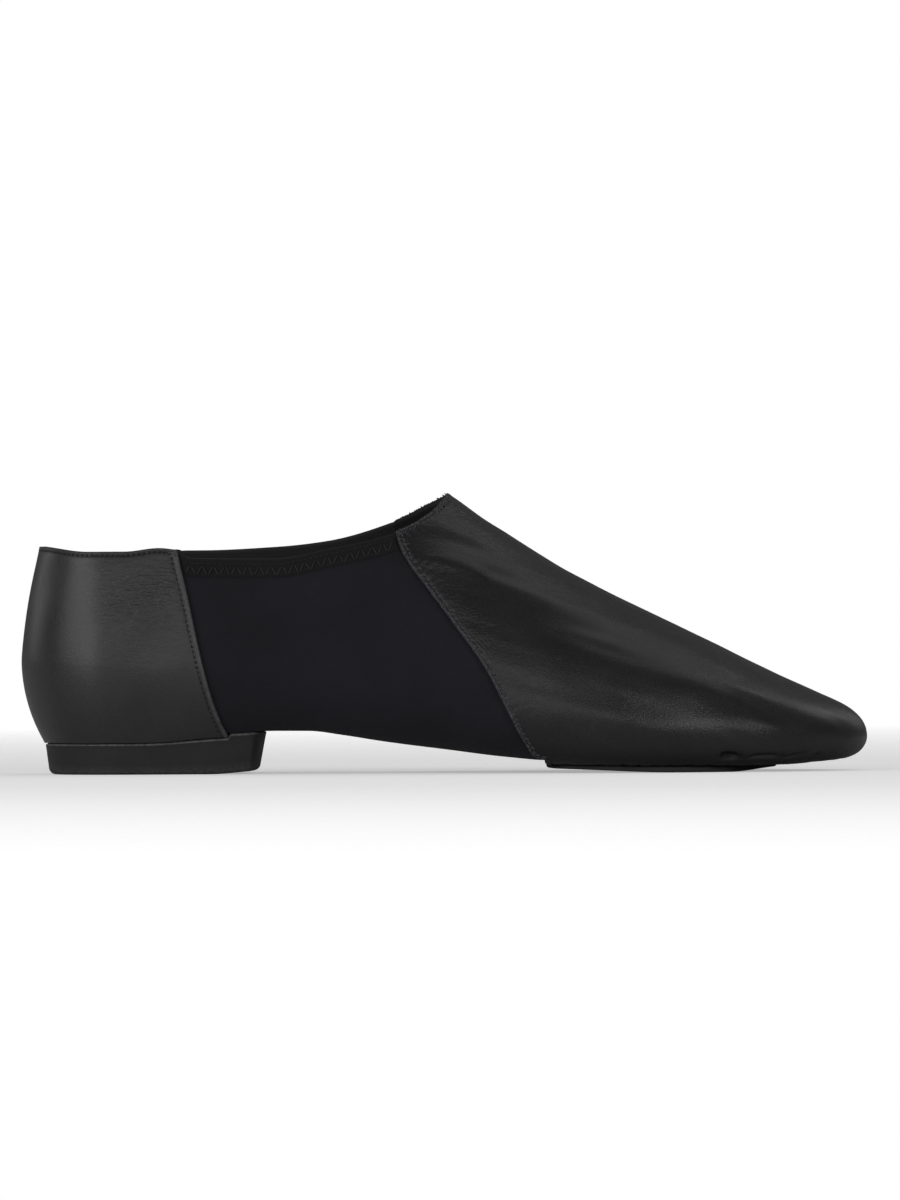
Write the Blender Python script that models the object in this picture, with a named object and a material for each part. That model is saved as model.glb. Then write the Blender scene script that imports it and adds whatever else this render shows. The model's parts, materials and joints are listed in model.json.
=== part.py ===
# A slip-on jazz shoe for the right foot, with a split sole.
# X runs from the heel to the toe, +Y is the inner side of the foot, and Z is up from the floor.
# One function gives the outermost form of the shoe. The upper, the leather overlays, the insole and
# both soles take their shapes from it, each at its own depth below that form.

import math

import bmesh
import bpy
import numpy as np

# Driving sizes, in metres
LENGTH = 0.2500
BALL_WIDTH = 0.0845
THROAT_HEIGHT = 0.0824
COLLAR_HEIGHT = 0.0674
HEEL_HEIGHT = 0.0090
TOE_SPRING = 0.0036
SOLE_THICKNESS = 0.0017
INSOLE_THICKNESS = 0.0020
LEATHER_THICKNESS = 0.0009
WALL_THICKNESS = 0.0014
CLEARANCE = 0.0003
HEM_BAND = 0.0058
HEM_STEP = 0.0005
LASTING_MARGIN = 0.0095
INSOLE_INSET = 0.0020
SOLE_INSET = 0.0010
SOLE_EDGE = 0.0005
SOLE_SKIVE = 0.0008
SKIVE_BACK = 0.0350
SKIVE_FRONT = 0.0100
SOLE_BACK_ROUND = 0.0050
SOLE_FRONT_ROUND = 0.0300
HEEL_EDGE = 0.0009
HEEL_TAPER = 0.0009
HEEL_FRONT_TAPER = 0.0008
HEEL_CORNER = 0.0040
HEEL_LIFT = 0.0010
HEEL_LIFT_REACH = 0.0170

# Places along the shoe, as shares of its length
HEEL_CENTRE = 0.128
TOE_CENTRE = 0.700
THROAT_PEAK = 0.505
HEEL_BLOCK_FRONT = 0.2895
SOLE_BACK = 0.620
SOLE_FRONT = 0.892
HEEL_HOLE_ROUND = 0.170
HEEL_HOLE_FRONT = 0.228
FORE_HOLE_BACK = 0.648
FORE_HOLE_ROUND = 0.700

# Roundness of the plan at the heel and at each side of the toe, and of the nose seen from the side
HEEL_ROUND = 2.1
TOE_ROUND = {"outer": 1.85, "inner": 2.0}
NOSE_ROUND = 24.0

# The plan, as half widths from the ridge to the outer and the inner side, in shares of the ball width.
# It ends at the toe's centre, where the ovals of TOE_ROUND take over.
PLAN_COLUMNS = ("at", "outer", "inner")
PLAN = (
    (0.000, 0.343, 0.343),
    (0.128, 0.343, 0.343),
    (0.240, 0.352, 0.336),
    (0.320, 0.370, 0.325),
    (0.380, 0.394, 0.324),
    (0.444, 0.430, 0.330),
    (0.505, 0.474, 0.350),
    (0.566, 0.514, 0.384),
    (0.637, 0.546, 0.424),
    (0.700, 0.556, 0.444),
)

# The sections of the last. spine is how far the ridge leans to the inner side, a share of the ball width.
# tread is the share of the half width that lies flat underneath. belly is the height of the widest line
# and crest that of the closed form's ridge, as shares of the throat height. bow and roll are the
# exponents of the wall above and below the widest line.
SECTION_COLUMNS = ("at", "spine", "tread", "belly", "crest", "bow", "roll")
SECTIONS = (
    (0.000, 0.000, 0.788, 0.408, 1.360, 1.35, 1.0),
    (0.128, 0.000, 0.835, 0.382, 1.300, 1.42, 1.0),
    (0.240, 0.000, 0.800, 0.367, 1.215, 1.55, 1.3),
    (0.320, 0.006, 0.640, 0.352, 1.180, 1.62, 2.0),
    (0.380, 0.012, 0.590, 0.332, 1.157, 1.70, 2.0),
    (0.444, 0.022, 0.590, 0.302, 1.097, 1.80, 2.0),
    (0.505, 0.032, 0.640, 0.270, 1.000, 1.86, 2.0),
    (0.566, 0.040, 0.715, 0.233, 0.873, 1.92, 2.0),
    (0.637, 0.046, 0.805, 0.194, 0.738, 1.95, 2.0),
    (0.700, 0.048, 0.865, 0.166, 0.635, 1.98, 2.0),
    (0.800, 0.058, 0.890, 0.144, 0.487, 2.00, 2.0),
    (0.874, 0.064, 0.895, 0.134, 0.376, 2.00, 2.0),
    (0.940, 0.064, 0.895, 0.128, 0.284, 2.00, 2.0),
    (1.000, 0.060, 0.895, 0.124, 0.211, 2.00, 2.0),
)

# The underside. lift is a share of how much higher the heel seat lies than the forefoot, and spring is
# a share of the toe spring.
UNDERSIDE_COLUMNS = ("at", "lift", "spring")
UNDERSIDE = (
    (0.000, 1.000, 0.00),
    (0.140, 1.000, 0.00),
    (0.244, 1.215, 0.00),
    (0.300, 1.300, 0.00),
    (0.340, 1.290, 0.00),
    (0.378, 1.125, 0.00),
    (0.424, 0.880, 0.00),
    (0.495, 0.535, 0.00),
    (0.566, 0.225, 0.00),
    (0.620, 0.075, 0.00),
    (0.700, 0.035, 0.00),
    (0.780, 0.000, 0.00),
    (0.850, 0.000, 0.00),
    (0.890, 0.000, 0.03),
    (0.924, 0.000, 0.14),
    (0.960, 0.000, 0.36),
    (1.000, 0.000, 0.75),
)

# The top edge of each side, as shares of the collar height
COLLAR_COLUMNS = ("at", "outer", "inner")
COLLAR = (
    (0.000, 1.000, 1.000),
    (0.070, 0.974, 0.974),
    (0.125, 0.974, 0.974),
    (0.165, 0.989, 0.989),
    (0.186, 0.979, 0.984),
    (0.198, 0.952, 0.984),
    (0.215, 0.947, 0.984),
    (0.300, 0.944, 0.998),
    (0.363, 0.985, 1.025),
    (0.444, 1.060, 1.114),
    (0.486, 1.147, 1.190),
    (0.505, 1.223, 1.223),
)

# Seams seen from the side: height as a share of the collar height, and place along the length
SEAM_COLUMNS = ("height", "at")
COUNTER_EDGE = (
    (0.160, 0.2460),
    (0.215, 0.2385),
    (0.368, 0.2240),
    (0.540, 0.2125),
    (0.760, 0.2000),
    (0.990, 0.1855),
)
VAMP_SEAM = (
    (0.056, 0.619),
    (0.068, 0.605),
    (0.114, 0.596),
    (0.215, 0.580),
    (0.341, 0.564),
    (0.467, 0.546),
    (0.585, 0.524),
    (0.711, 0.499),
    (0.829, 0.476),
    (0.920, 0.458),
    (1.004, 0.447),
    (1.057, 0.4436),
)

# The finish of each part: a colour as red, green and blue, and the roughness
FINISHES = {
    "upper": (0.013, 0.012, 0.017, 0.85),
    "heel_counter": (0.038, 0.038, 0.040, 0.45),
    "vamp": (0.020, 0.021, 0.022, 0.50),
    "forefoot_sole": (0.020, 0.020, 0.021, 0.90),
    "heel_block": (0.018, 0.018, 0.019, 0.70),
    "insole": (0.050, 0.050, 0.052, 0.90),
}

# Divisions of the grid: stations between its guide lines, then levels in each part of the wall
HEEL_STATIONS = 8
COUNTER_STATIONS = 3
STRETCH_STATIONS = 8
STRETCH_START = (0.02, 0.05)
THROAT_STATIONS = 4
INSTEP_STATIONS = 6
TOE_STATIONS = 11
TOE_CROWDING = 1.4
HEM_LEVELS = (0.10, 0.55, 1.00)
MARGIN_SHARES = (1.00, 0.75, 0.40, 0.00)
ROLL_LEVELS = 5
WALL_LEVELS = 6
SEAM_STEPS = 40
SLAB_STATIONS = 26
OUTLINE_POINTS = 241
END_ROUND = 2.3
SMOOTH_ANGLE = math.radians(35)
NUDGE = 1e-3
POLE_MARGIN = 0.02
CREASE_REACH = 0.1
SHARED = 0

# Marks along the form's stations, up its levels, and on its two sides
HEEL_END, HEEL_MARK, TOE_MARK, TOE_END = 0, 1, 2, 3
MIDDLE, FEATHER, WIDEST, TOP = -1, 0, 1, 2
OUTER_SIDE, INNER_SIDE = -1, 1
QUARTER_TURN = math.pi / 2
DOWN = (0, 0, -1)

MARGIN_LEVELS = len(MARGIN_SHARES) - 1
SIDE_NAMES = {OUTER_SIDE: "outer", INNER_SIDE: "inner"}

OVERLAY_DEPTH = LEATHER_THICKNESS
UPPER_DEPTH = LEATHER_THICKNESS + CLEARANCE
LINING_DEPTH = UPPER_DEPTH + WALL_THICKNESS
HEEL_STEP_BACK = COUNTER_EDGE[0][1] * LENGTH + CLEARANCE
HEEL_X, TOE_X, PEAK_X = HEEL_CENTRE * LENGTH, TOE_CENTRE * LENGTH, THROAT_PEAK * LENGTH


def curve(columns, rows, name, scale=1.0, along=LENGTH):
    # A smooth curve through one column of a table, with no overshoot between its rows
    places = np.array([row[0] for row in rows]) * along
    values = np.array([row[columns.index(name)] for row in rows]) * scale
    gaps = np.diff(places)
    slopes = np.diff(values) / gaps
    tangents = np.empty(len(places))
    tangents[0], tangents[-1] = slopes[0], slopes[-1]
    for k in range(1, len(places) - 1):
        before, after = slopes[k - 1], slopes[k]
        if before * after <= 0:
            tangents[k] = 0
        else:
            near, far = 2 * gaps[k] + gaps[k - 1], gaps[k] + 2 * gaps[k - 1]
            tangents[k] = (near + far) / (near / before + far / after)

    def at(place):
        place = np.asarray(place, float)
        k = np.clip(np.searchsorted(places, place) - 1, 0, len(gaps) - 1)
        t = np.clip((place - places[k]) / gaps[k], 0, 1)
        rise = (2 * t**3 - 3 * t**2 + 1) * values[k] + (3 * t**2 - 2 * t**3) * values[k + 1]
        lean = (t**3 - 2 * t**2 + t) * tangents[k] + (t**3 - t**2) * tangents[k + 1]
        return rise + gaps[k] * lean

    return at


def section_curve(name, scale=1.0):
    return curve(SECTION_COLUMNS, SECTIONS, name, scale)


side_width = {side: curve(PLAN_COLUMNS, PLAN, name, BALL_WIDTH) for side, name in SIDE_NAMES.items()}
spine_y = section_curve("spine", BALL_WIDTH)
tread_share = section_curve("tread")
belly_height = section_curve("belly", THROAT_HEIGHT)
crest_height = section_curve("crest", THROAT_HEIGHT)
bow_exponent = section_curve("bow")
roll_exponent = section_curve("roll")
lift_share = curve(UNDERSIDE_COLUMNS, UNDERSIDE, "lift")
spring_share = curve(UNDERSIDE_COLUMNS, UNDERSIDE, "spring")
collar_edge = {side: curve(COLLAR_COLUMNS, COLLAR, name, COLLAR_HEIGHT) for side, name in SIDE_NAMES.items()}
counter_edge = curve(SEAM_COLUMNS, COUNTER_EDGE, "at", LENGTH, COLLAR_HEIGHT)
vamp_seam = curve(SEAM_COLUMNS, VAMP_SEAM, "at", LENGTH, COLLAR_HEIGHT)


def eased(share):
    # A smooth step from 0 to 1
    share = np.clip(share, 0, 1)
    return share**2 * (3 - 2 * share)


def underside_height(x):
    # The height of the form's flat underside, which rests on the sole and the heel block
    seat = SOLE_THICKNESS + CLEARANCE
    return seat + (HEEL_HEIGHT - SOLE_THICKNESS) * lift_share(x) + TOE_SPRING * spring_share(x)


def toe_reach(x):
    # Share of the way from the toe's centre to its tip
    return np.clip((x - TOE_X) / (LENGTH - TOE_X), 0, 1)


def toe_width(side, x):
    # Half width of one side ahead of the toe's centre, an oval that closes at the tip
    power = TOE_ROUND[SIDE_NAMES[side]]
    return side_width[side](TOE_X) * (1 - toe_reach(x) ** power) ** (1 / power)


def oval_radius(length, width, power, along, across):
    # Distance from the centre of a rounded oval to its edge, in a direction given by two cosines
    return ((along / length) ** power + (across / width) ** power) ** (-1 / power)


def dome(x, share):
    # Height of the closed form over a point at a share of the half width from the ridge. The ridge comes
    # down to the widest line at the tip of the toe.
    belly = belly_height(x)
    rise = (crest_height(x) - belly) * np.sqrt(1 - toe_reach(x) ** NOSE_ROUND)
    return belly + rise * (1 - np.clip(share, 0, 1) ** 2) ** (1 / bow_exponent(x))


def top_height(side, x):
    # The collar's edge as far as the throat's peak, and the ridge ahead of it
    ridge = dome(x, 0.0)
    return np.where(x < PEAK_X, np.minimum(collar_edge[side](x), ridge), ridge)


def rise_angle(x, height):
    # Angle up the wall from the widest line at which a height is reached
    belly = belly_height(x)
    share = np.clip((height - belly) / (crest_height(x) - belly), 0, 1)
    return np.arcsin(share ** (bow_exponent(x) / 2))


def top_angle(side, x):
    # Angle up the wall at which it ends, a quarter turn where the form is closed
    return np.where(x >= PEAK_X, QUARTER_TURN, rise_angle(x, top_height(side, x)))


def surface(side, station, level):
    # A point of the outermost form. station runs from HEEL_END round the heel to HEEL_MARK, along the
    # foot to TOE_MARK and round the toe to TOE_END. level runs from MIDDLE of the underside to FEATHER at
    # its edge, and up the wall by WIDEST to TOP.
    station, level = np.broadcast_arrays(np.asarray(station, float), np.asarray(level, float))
    round_heel, round_toe = station < HEEL_MARK, station > TOE_MARK
    back = np.clip(HEEL_MARK - station, 0, 1) * QUARTER_TURN
    front = np.clip(station - TOE_MARK, 0, 1) * QUARTER_TURN
    centre = HEEL_X + np.clip(station - HEEL_MARK, 0, 1) * (TOE_X - HEEL_X)
    along = np.where(round_heel, -np.sin(back), np.sin(front))
    across = np.clip(np.where(round_heel, np.cos(back), np.cos(front)), 0, 1)

    width = side_width[side](centre)
    heel_radius = oval_radius(HEEL_X, width, HEEL_ROUND, np.abs(along), across)
    toe_radius = oval_radius(LENGTH - TOE_X, width, TOE_ROUND[SIDE_NAMES[side]], np.abs(along), across)
    widest = np.where(round_heel, heel_radius, np.where(round_toe, toe_radius, width))

    edge_x = centre + widest * along
    tread = widest * tread_share(edge_x)
    seat, belly = underside_height(centre + tread * along), belly_height(edge_x)

    roll = np.clip(level - FEATHER, 0, 1) * QUARTER_TURN
    lower_radius = tread + (widest - tread) * np.sin(roll) ** (2 / roll_exponent(edge_x))
    lower_height = belly - (belly - seat) * np.cos(roll)

    sweep = np.clip(level - WIDEST, 0, 1) * top_angle(side, edge_x)
    upper_radius = widest * np.cos(sweep)
    upper_x = np.where(round_toe, centre + upper_radius * along, edge_x)
    toe_lean = upper_radius * across / np.maximum(toe_width(side, upper_x), NUDGE * widest)
    lean = np.where(round_toe, np.minimum(toe_lean, 1), np.cos(sweep))
    upper_height = dome(upper_x, lean)

    below, rolling = level <= FEATHER, level <= WIDEST
    inside = tread * np.clip(level - MIDDLE, 0, 1)
    radius = np.where(below, inside, np.where(rolling, lower_radius, upper_radius))
    x = centre + radius * along
    height = np.where(below, underside_height(x), np.where(rolling, lower_height, upper_height))
    return np.stack([x, spine_y(x) + side * radius * across, height], axis=-1)


def station_at(x):
    # The station of a place between the centres of the heel and the toe
    return HEEL_MARK + (x - HEEL_X) / (TOE_X - HEEL_X)


def place_at(station):
    # The place along the shoe of a station's centre. Behind the heel's centre it runs back to the end.
    past_heel = np.clip(station - HEEL_MARK, 0, 1) * (TOE_X - HEEL_X)
    return HEEL_X * np.clip(station, 0, 1) + past_heel


def hem_level(side, station):
    # The level of the hem's lower line, a band's width below the top edge and never below mid height
    x = place_at(station)
    top, belly = top_height(side, x), belly_height(x)
    line = np.maximum(top - HEM_BAND, (top + belly) / 2)
    return WIDEST + rise_angle(x, line) / top_angle(side, x)


def tread_radius(side, station):
    # Distance from the centre line to the flat underside's edge
    spoke = surface(side, station, FEATHER) - surface(side, station, MIDDLE)
    return np.hypot(spoke[..., 0], spoke[..., 1])


def hole_reach(station, tread):
    # Half width of the opening underneath, left by the turned-in edge, at the heel seat and the forefoot
    x = place_at(station)
    reach = np.maximum(tread - LASTING_MARGIN, 0)
    heel_end = np.clip((x / LENGTH - HEEL_HOLE_ROUND) / (HEEL_HOLE_FRONT - HEEL_HOLE_ROUND), 0, 1)
    fore_end = np.clip((FORE_HOLE_ROUND - x / LENGTH) / (FORE_HOLE_ROUND - FORE_HOLE_BACK), 0, 1)
    ahead = x > HEEL_HOLE_FRONT * LENGTH
    return reach * np.sqrt(1 - np.where(ahead, fore_end, heel_end) ** 2)


def hole_level(side, station):
    # Round the toe the opening is an oval that stays behind the front edge of the forefoot sole
    tread = tread_radius(side, station)
    front = np.clip(station - TOE_MARK, 0, 1) * QUARTER_TURN
    across = hole_reach(TOE_MARK, tread_radius(side, TOE_MARK))
    ahead = (SOLE_FRONT - TOE_CENTRE) * LENGTH - LASTING_MARGIN
    oval = oval_radius(ahead, across, TOE_ROUND[SIDE_NAMES[side]], np.sin(front), np.cos(front))
    return np.where(station > TOE_MARK, oval, hole_reach(station, tread)) / tread + MIDDLE


def level_at(side, station, j):
    # The level of one line of the grid, which follows the opening underneath and the hem's lower line
    if j <= MARGIN_LEVELS:
        return hole_level(side, station) * MARGIN_SHARES[j]
    j -= MARGIN_LEVELS
    if j <= ROLL_LEVELS:
        return j / ROLL_LEVELS
    j -= ROLL_LEVELS
    hem = hem_level(side, station)
    if j <= WALL_LEVELS:
        return WIDEST + (hem - WIDEST) * j / WALL_LEVELS
    return hem + (TOP - hem) * HEM_LEVELS[j - WALL_LEVELS - 1]


def seam_station(side, seam, j):
    # Where one level of the grid crosses a seam that is given by its place at each height
    low, high = HEEL_X, TOE_X
    for _ in range(SEAM_STEPS):
        x = (low + high) / 2
        station = station_at(x)
        height = surface(side, station, level_at(side, station, j))[2]
        if x < seam(height):
            low = x
        else:
            high = x
    return station_at((low + high) / 2)


def even(count):
    # Shares of a stretch that is divided into equal steps
    return [k / count for k in range(1, count + 1)]


# Stations between the guide lines: heel centre, counter's edge, vamp's seam, throat's peak and toe
ZONES = (
    even(HEEL_STATIONS),
    even(COUNTER_STATIONS),
    [*STRETCH_START, *even(STRETCH_STATIONS)[:-1], 1 - STRETCH_START[0], 1],
    even(THROAT_STATIONS),
    even(INSTEP_STATIONS),
    [1 - (1 - share) ** TOE_CROWDING for share in even(TOE_STATIONS)],
)
GUIDES = [sum(len(zone) for zone in ZONES[:k]) for k in range(len(ZONES) + 1)]
COUNTER_LINE, VAMP_LINE, PEAK_LINE, TOE_LINE, LAST_LINE = GUIDES[2:]
WIDEST_LEVEL = MARGIN_LEVELS + ROLL_LEVELS
HEM_LEVEL = WIDEST_LEVEL + WALL_LEVELS
TOP_LEVEL = HEM_LEVEL + len(HEM_LEVELS)


def grid(side):
    # Station and level of every crossing of the grid on one side, as two arrays
    stations = np.zeros((LAST_LINE + 1, TOP_LEVEL + 1))
    levels = np.zeros_like(stations)
    throat = None
    for j in range(TOP_LEVEL, -1, -1):
        counter = seam_station(side, counter_edge, j)
        seam = seam_station(side, vamp_seam, j)
        if throat is None:
            throat = station_at(PEAK_X) - seam
        guides = (HEEL_END, HEEL_MARK, counter, seam, seam + throat, TOE_MARK, TOE_END)
        column = [HEEL_END]
        for start, end, zone in zip(guides, guides[1:], ZONES):
            column += [start + (end - start) * share for share in zone]
        stations[:, j] = column
        levels[:, j] = level_at(side, stations[:, j], j)
    return stations, levels


def direction(side, stations, levels, step):
    # Unit outward normals, from a small step along the stations and one up or down the levels
    ahead = surface(side, np.minimum(stations + NUDGE, TOE_END), levels)
    behind = surface(side, np.maximum(stations - NUDGE, HEEL_END), levels)
    other = surface(side, stations, levels + step)
    here = surface(side, stations, levels)
    upwards = (other - here) * np.broadcast_to(np.sign(step), stations.shape)[..., None]
    normals = np.cross(ahead - behind, upwards) * -side
    return normals / np.linalg.norm(normals, axis=-1, keepdims=True)


def sunk(side, stations, levels, depth):
    # The form's points moved inwards by a depth, along a mitre at the underside's edge
    points = surface(side, stations, levels)
    steps = np.where(levels < FEATHER, -NUDGE, NUDGE)
    steady = np.clip(levels, MIDDLE + POLE_MARGIN, TOP - POLE_MARGIN)
    normals = direction(side, stations, steady, steps)
    edge = np.abs(levels - FEATHER) < NUDGE
    mitre = direction(side, stations, np.full_like(levels, FEATHER), CREASE_REACH) + DOWN
    mitre /= -mitre[..., 2:3]
    normals = np.where(edge[..., None], mitre, normals)
    return points - normals * np.asarray(depth)[..., None]


GRIDS = {side: grid(side) for side in SIDE_NAMES}


def hem_depths():
    # The upper's depth over the grid, less by the hem's step above its lower line
    depths = np.full((LAST_LINE + 1, TOP_LEVEL + 1), UPPER_DEPTH)
    depths[COUNTER_LINE + 1:VAMP_LINE, HEM_LEVEL + 1:] -= HEM_STEP
    return depths


def crossing(side, i, j):
    # One name for each point of the grid, shared where the two sides meet
    if j == TOP_LEVEL and i >= TOE_LINE:
        return (SHARED, TOE_LINE, j)
    meets_below = j == 0 and GRIDS[side][1][i, j] < MIDDLE + NUDGE
    if i in (0, LAST_LINE) or (j == TOP_LEVEL and i >= PEAK_LINE) or meets_below:
        return (SHARED, i, j)
    return (side, i, j)


def skin(depths, first_line, last_line, first_level):
    # Points and triangles of one sheet of the form between two lines, from a level to the top edge
    sums, triangles = {}, []
    for side in SIDE_NAMES:
        stations, levels = GRIDS[side]
        points = sunk(side, stations, levels, depths)
        for i in range(first_line, last_line + 1):
            for j in range(first_level, TOP_LEVEL + 1):
                sums.setdefault(crossing(side, i, j), []).append(points[i, j])
        for i in range(first_line, last_line):
            for j in range(first_level, TOP_LEVEL):
                a, b = crossing(side, i, j), crossing(side, i + 1, j)
                c, d = crossing(side, i + 1, j + 1), crossing(side, i, j + 1)
                triangles += [t for t in ((a, b, c), (a, c, d)) if len(set(t)) == 3]
    return {name: np.mean(found, axis=0) for name, found in sums.items()}, triangles


def borders(triangles):
    # Edges that belong to one triangle only
    count = {}
    for triangle in triangles:
        for k in range(3):
            edge = frozenset((triangle[k], triangle[(k + 1) % 3]))
            count[edge] = count.get(edge, 0) + 1
    return [tuple(sorted(edge)) for edge, uses in count.items() if uses == 1]


def shell(name, outer_depths, inner_depths, first_line, last_line, first_level):
    # A closed wall between two sheets of the form, joined along every open border
    mesh = bmesh.new()
    outer_points, triangles = skin(outer_depths, first_line, last_line, first_level)
    inner_points, _ = skin(inner_depths, first_line, last_line, first_level)
    outer = {key: mesh.verts.new(point) for key, point in outer_points.items()}
    inner = {key: mesh.verts.new(point) for key, point in inner_points.items()}
    for a, b, c in triangles:
        mesh.faces.new((outer[a], outer[b], outer[c]))
        mesh.faces.new((inner[c], inner[b], inner[a]))
    for a, b in borders(triangles):
        mesh.faces.new((outer[a], outer[b], inner[b]))
        mesh.faces.new((outer[a], inner[b], inner[a]))
    return finished(name, mesh)


def finished(name, mesh):
    # Turns a bmesh into an object of the scene with its material, centred on the origin in plan
    bmesh.ops.recalc_face_normals(mesh, faces=mesh.faces)
    bmesh.ops.translate(mesh, verts=mesh.verts, vec=(-LENGTH / 2, -plan_middle(), 0))
    data = bpy.data.meshes.new(name)
    mesh.to_mesh(data)
    mesh.free()
    data.shade_smooth()
    data.set_sharp_from_angle(angle=SMOOTH_ANGLE)
    data.materials.append(surface_finish(name))
    part = bpy.data.objects.new(name, data)
    bpy.context.collection.objects.link(part)
    return part


def plan_middle():
    # Halfway between the widest points of the two sides
    reach = {side: surface(side, GRIDS[side][0][:, WIDEST_LEVEL], WIDEST)[:, 1] for side in SIDE_NAMES}
    return (reach[OUTER_SIDE].min() + reach[INNER_SIDE].max()) / 2


def moved_in(outline, inset):
    # A closed outline in plan, moved inwards by an inset or by one for each of its points
    ahead, behind = np.roll(outline, -1, axis=0), np.roll(outline, 1, axis=0)
    along = ahead - behind
    inward = np.stack([-along[:, 1], along[:, 0]], axis=1)
    inward /= np.linalg.norm(along, axis=1, keepdims=True)
    return outline + np.reshape(inset, (-1, 1)) * inward


def tread_outline(inset):
    # The edge of the flat underside: along the outer side to the toe and back along the inner side
    stations = np.linspace(HEEL_END, TOE_END, OUTLINE_POINTS)
    outer = surface(OUTER_SIDE, stations, FEATHER)[:, :2]
    inner = surface(INNER_SIDE, stations, FEATHER)[:, :2]
    loop = moved_in(np.concatenate([outer, inner[-2:0:-1]]), inset)
    return loop[:OUTLINE_POINTS], np.concatenate([loop[:1], loop[:OUTLINE_POINTS - 2:-1]])


def rounded_end(distance, length):
    # Share of the half width left at a distance from an end that is rounded over a length
    share = 1 - np.clip(distance / length, 0, 1)
    return (1 - share**END_ROUND) ** (1 / END_ROUND)


def slab(name, inset, back, front, round_back, round_front, profile, steps=()):
    # A plate under or in the shoe that keeps an inset from the underside's edge. profile lists the rings
    # of its edge from the bottom up, each with its own inset and its height at any place x.
    outer, inner = tread_outline(inset)
    back = max(back, outer[:, 0].min())
    front = min(front, outer[:, 0].max())
    turn = (1 - np.cos(np.linspace(0, math.pi, SLAB_STATIONS))) / 2
    x = np.sort(np.concatenate([back + (front - back) * turn, steps]))
    low = np.interp(x, outer[:, 0], outer[:, 1])
    high = np.interp(x, inner[:, 0], inner[:, 1])
    share = np.ones_like(x)
    if round_back:
        share *= rounded_end(x - back, round_back)
    if round_front:
        share *= rounded_end(front - x, round_front)
    middle, half = (low + high) / 2, (high - low) / 2 * share
    half[[0, -1]] = 0
    outline = np.concatenate([np.stack([x, middle - half], axis=1),
                              np.stack([x, middle + half], axis=1)[-2:0:-1]])
    mesh = bmesh.new()
    rings = []
    for ring_inset, height in profile:
        ring = moved_in(outline, ring_inset(outline[:, 0]))
        heights = height(ring[:, 0])
        rings.append([mesh.verts.new((*place, z)) for place, z in zip(ring, heights)])
    count = len(outline)
    for lower, upper in zip(rings, rings[1:]):
        for k in range(count):
            after = (k + 1) % count
            mesh.faces.new((lower[k], lower[after], upper[after], upper[k]))
    for ring in (rings[0], rings[-1]):
        for k in range(len(x) - 1):
            corners = [ring[k], ring[k + 1], ring[-k - 1], ring[-k]]
            mesh.faces.new(list(dict.fromkeys(corners)))
    bmesh.ops.triangulate(mesh, faces=mesh.faces)
    return finished(name, mesh)


def surface_finish(name):
    # The material of a part, from its row of FINISHES
    red, green, blue, roughness = FINISHES[name]
    made = bpy.data.materials.new(name)
    made.use_nodes = True
    shader = made.node_tree.nodes["Principled BSDF"]
    shader.inputs["Base Color"].default_value = (red, green, blue, 1)
    shader.inputs["Roughness"].default_value = roughness
    shader.inputs["Metallic"].default_value = 0
    return made


def always(value):
    # The same value at every place along the shoe
    return lambda x: np.full_like(x, value)


def over_underside(offset):
    # A height at any place, measured from the underside
    return lambda x: underside_height(x) + offset


def skived(offset):
    # A height over the patch's lower face, which rises where the patch thins towards its two ends
    back = SOLE_BACK * LENGTH + SKIVE_BACK
    front = SOLE_FRONT * LENGTH - SKIVE_FRONT
    lower_face = over_underside(offset - CLEARANCE - SOLE_THICKNESS)

    def height(x):
        thinning = np.maximum(eased((back - x) / SKIVE_BACK), eased((x - front) / SKIVE_FRONT))
        return lower_face(x) + SOLE_SKIVE * thinning

    return height


def heel_block_bottom(x):
    # Flat on the floor, and lifted a little at the front
    start = HEEL_BLOCK_FRONT * LENGTH - HEEL_LIFT_REACH
    return HEEL_LIFT * eased((x - start) / HEEL_LIFT_REACH)


def heel_block_taper(x):
    # How far the foot of the block's side stands inside its top edge, most of all at the front
    start = HEEL_BLOCK_FRONT * LENGTH - HEEL_CORNER
    return HEEL_TAPER + HEEL_FRONT_TAPER * eased((x - start) / HEEL_CORNER)


def heel_block_top(x):
    # The block's top carries the counter's turned-in edge, and ahead of it the thinner upper alone
    return underside_height(x) - CLEARANCE + np.where(x > HEEL_STEP_BACK + CLEARANCE / 2, UPPER_DEPTH, 0)


def build_upper():
    depths = hem_depths()
    shell("upper", depths, np.full_like(depths, LINING_DEPTH), 0, LAST_LINE, 0)


def build_overlay(name, first_line, last_line):
    outer = np.zeros((LAST_LINE + 1, TOP_LEVEL + 1))
    shell(name, outer, np.full_like(outer, OVERLAY_DEPTH), first_line, last_line, 1)


def build_forefoot_sole():
    profile = (
        (always(SOLE_EDGE), skived(0)),
        (always(0), skived(SOLE_EDGE)),
        (always(0), over_underside(-CLEARANCE)),
    )
    slab("forefoot_sole", SOLE_INSET, SOLE_BACK * LENGTH, SOLE_FRONT * LENGTH, SOLE_BACK_ROUND,
         SOLE_FRONT_ROUND, profile)


def build_heel_block():
    profile = (
        (lambda x: heel_block_taper(x) + HEEL_EDGE, heel_block_bottom),
        (heel_block_taper, lambda x: heel_block_bottom(x) + HEEL_EDGE),
        (always(0), heel_block_top),
    )
    slab("heel_block", CLEARANCE, 0, HEEL_BLOCK_FRONT * LENGTH, 0, HEEL_CORNER, profile,
         steps=(HEEL_STEP_BACK, HEEL_STEP_BACK + CLEARANCE))


def build_insole():
    floor = LINING_DEPTH + CLEARANCE
    profile = (
        (always(0), over_underside(floor)),
        (always(0), over_underside(floor + INSOLE_THICKNESS)),
    )
    slab("insole", INSOLE_INSET, 0, LENGTH, 0, 0, profile)


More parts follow.
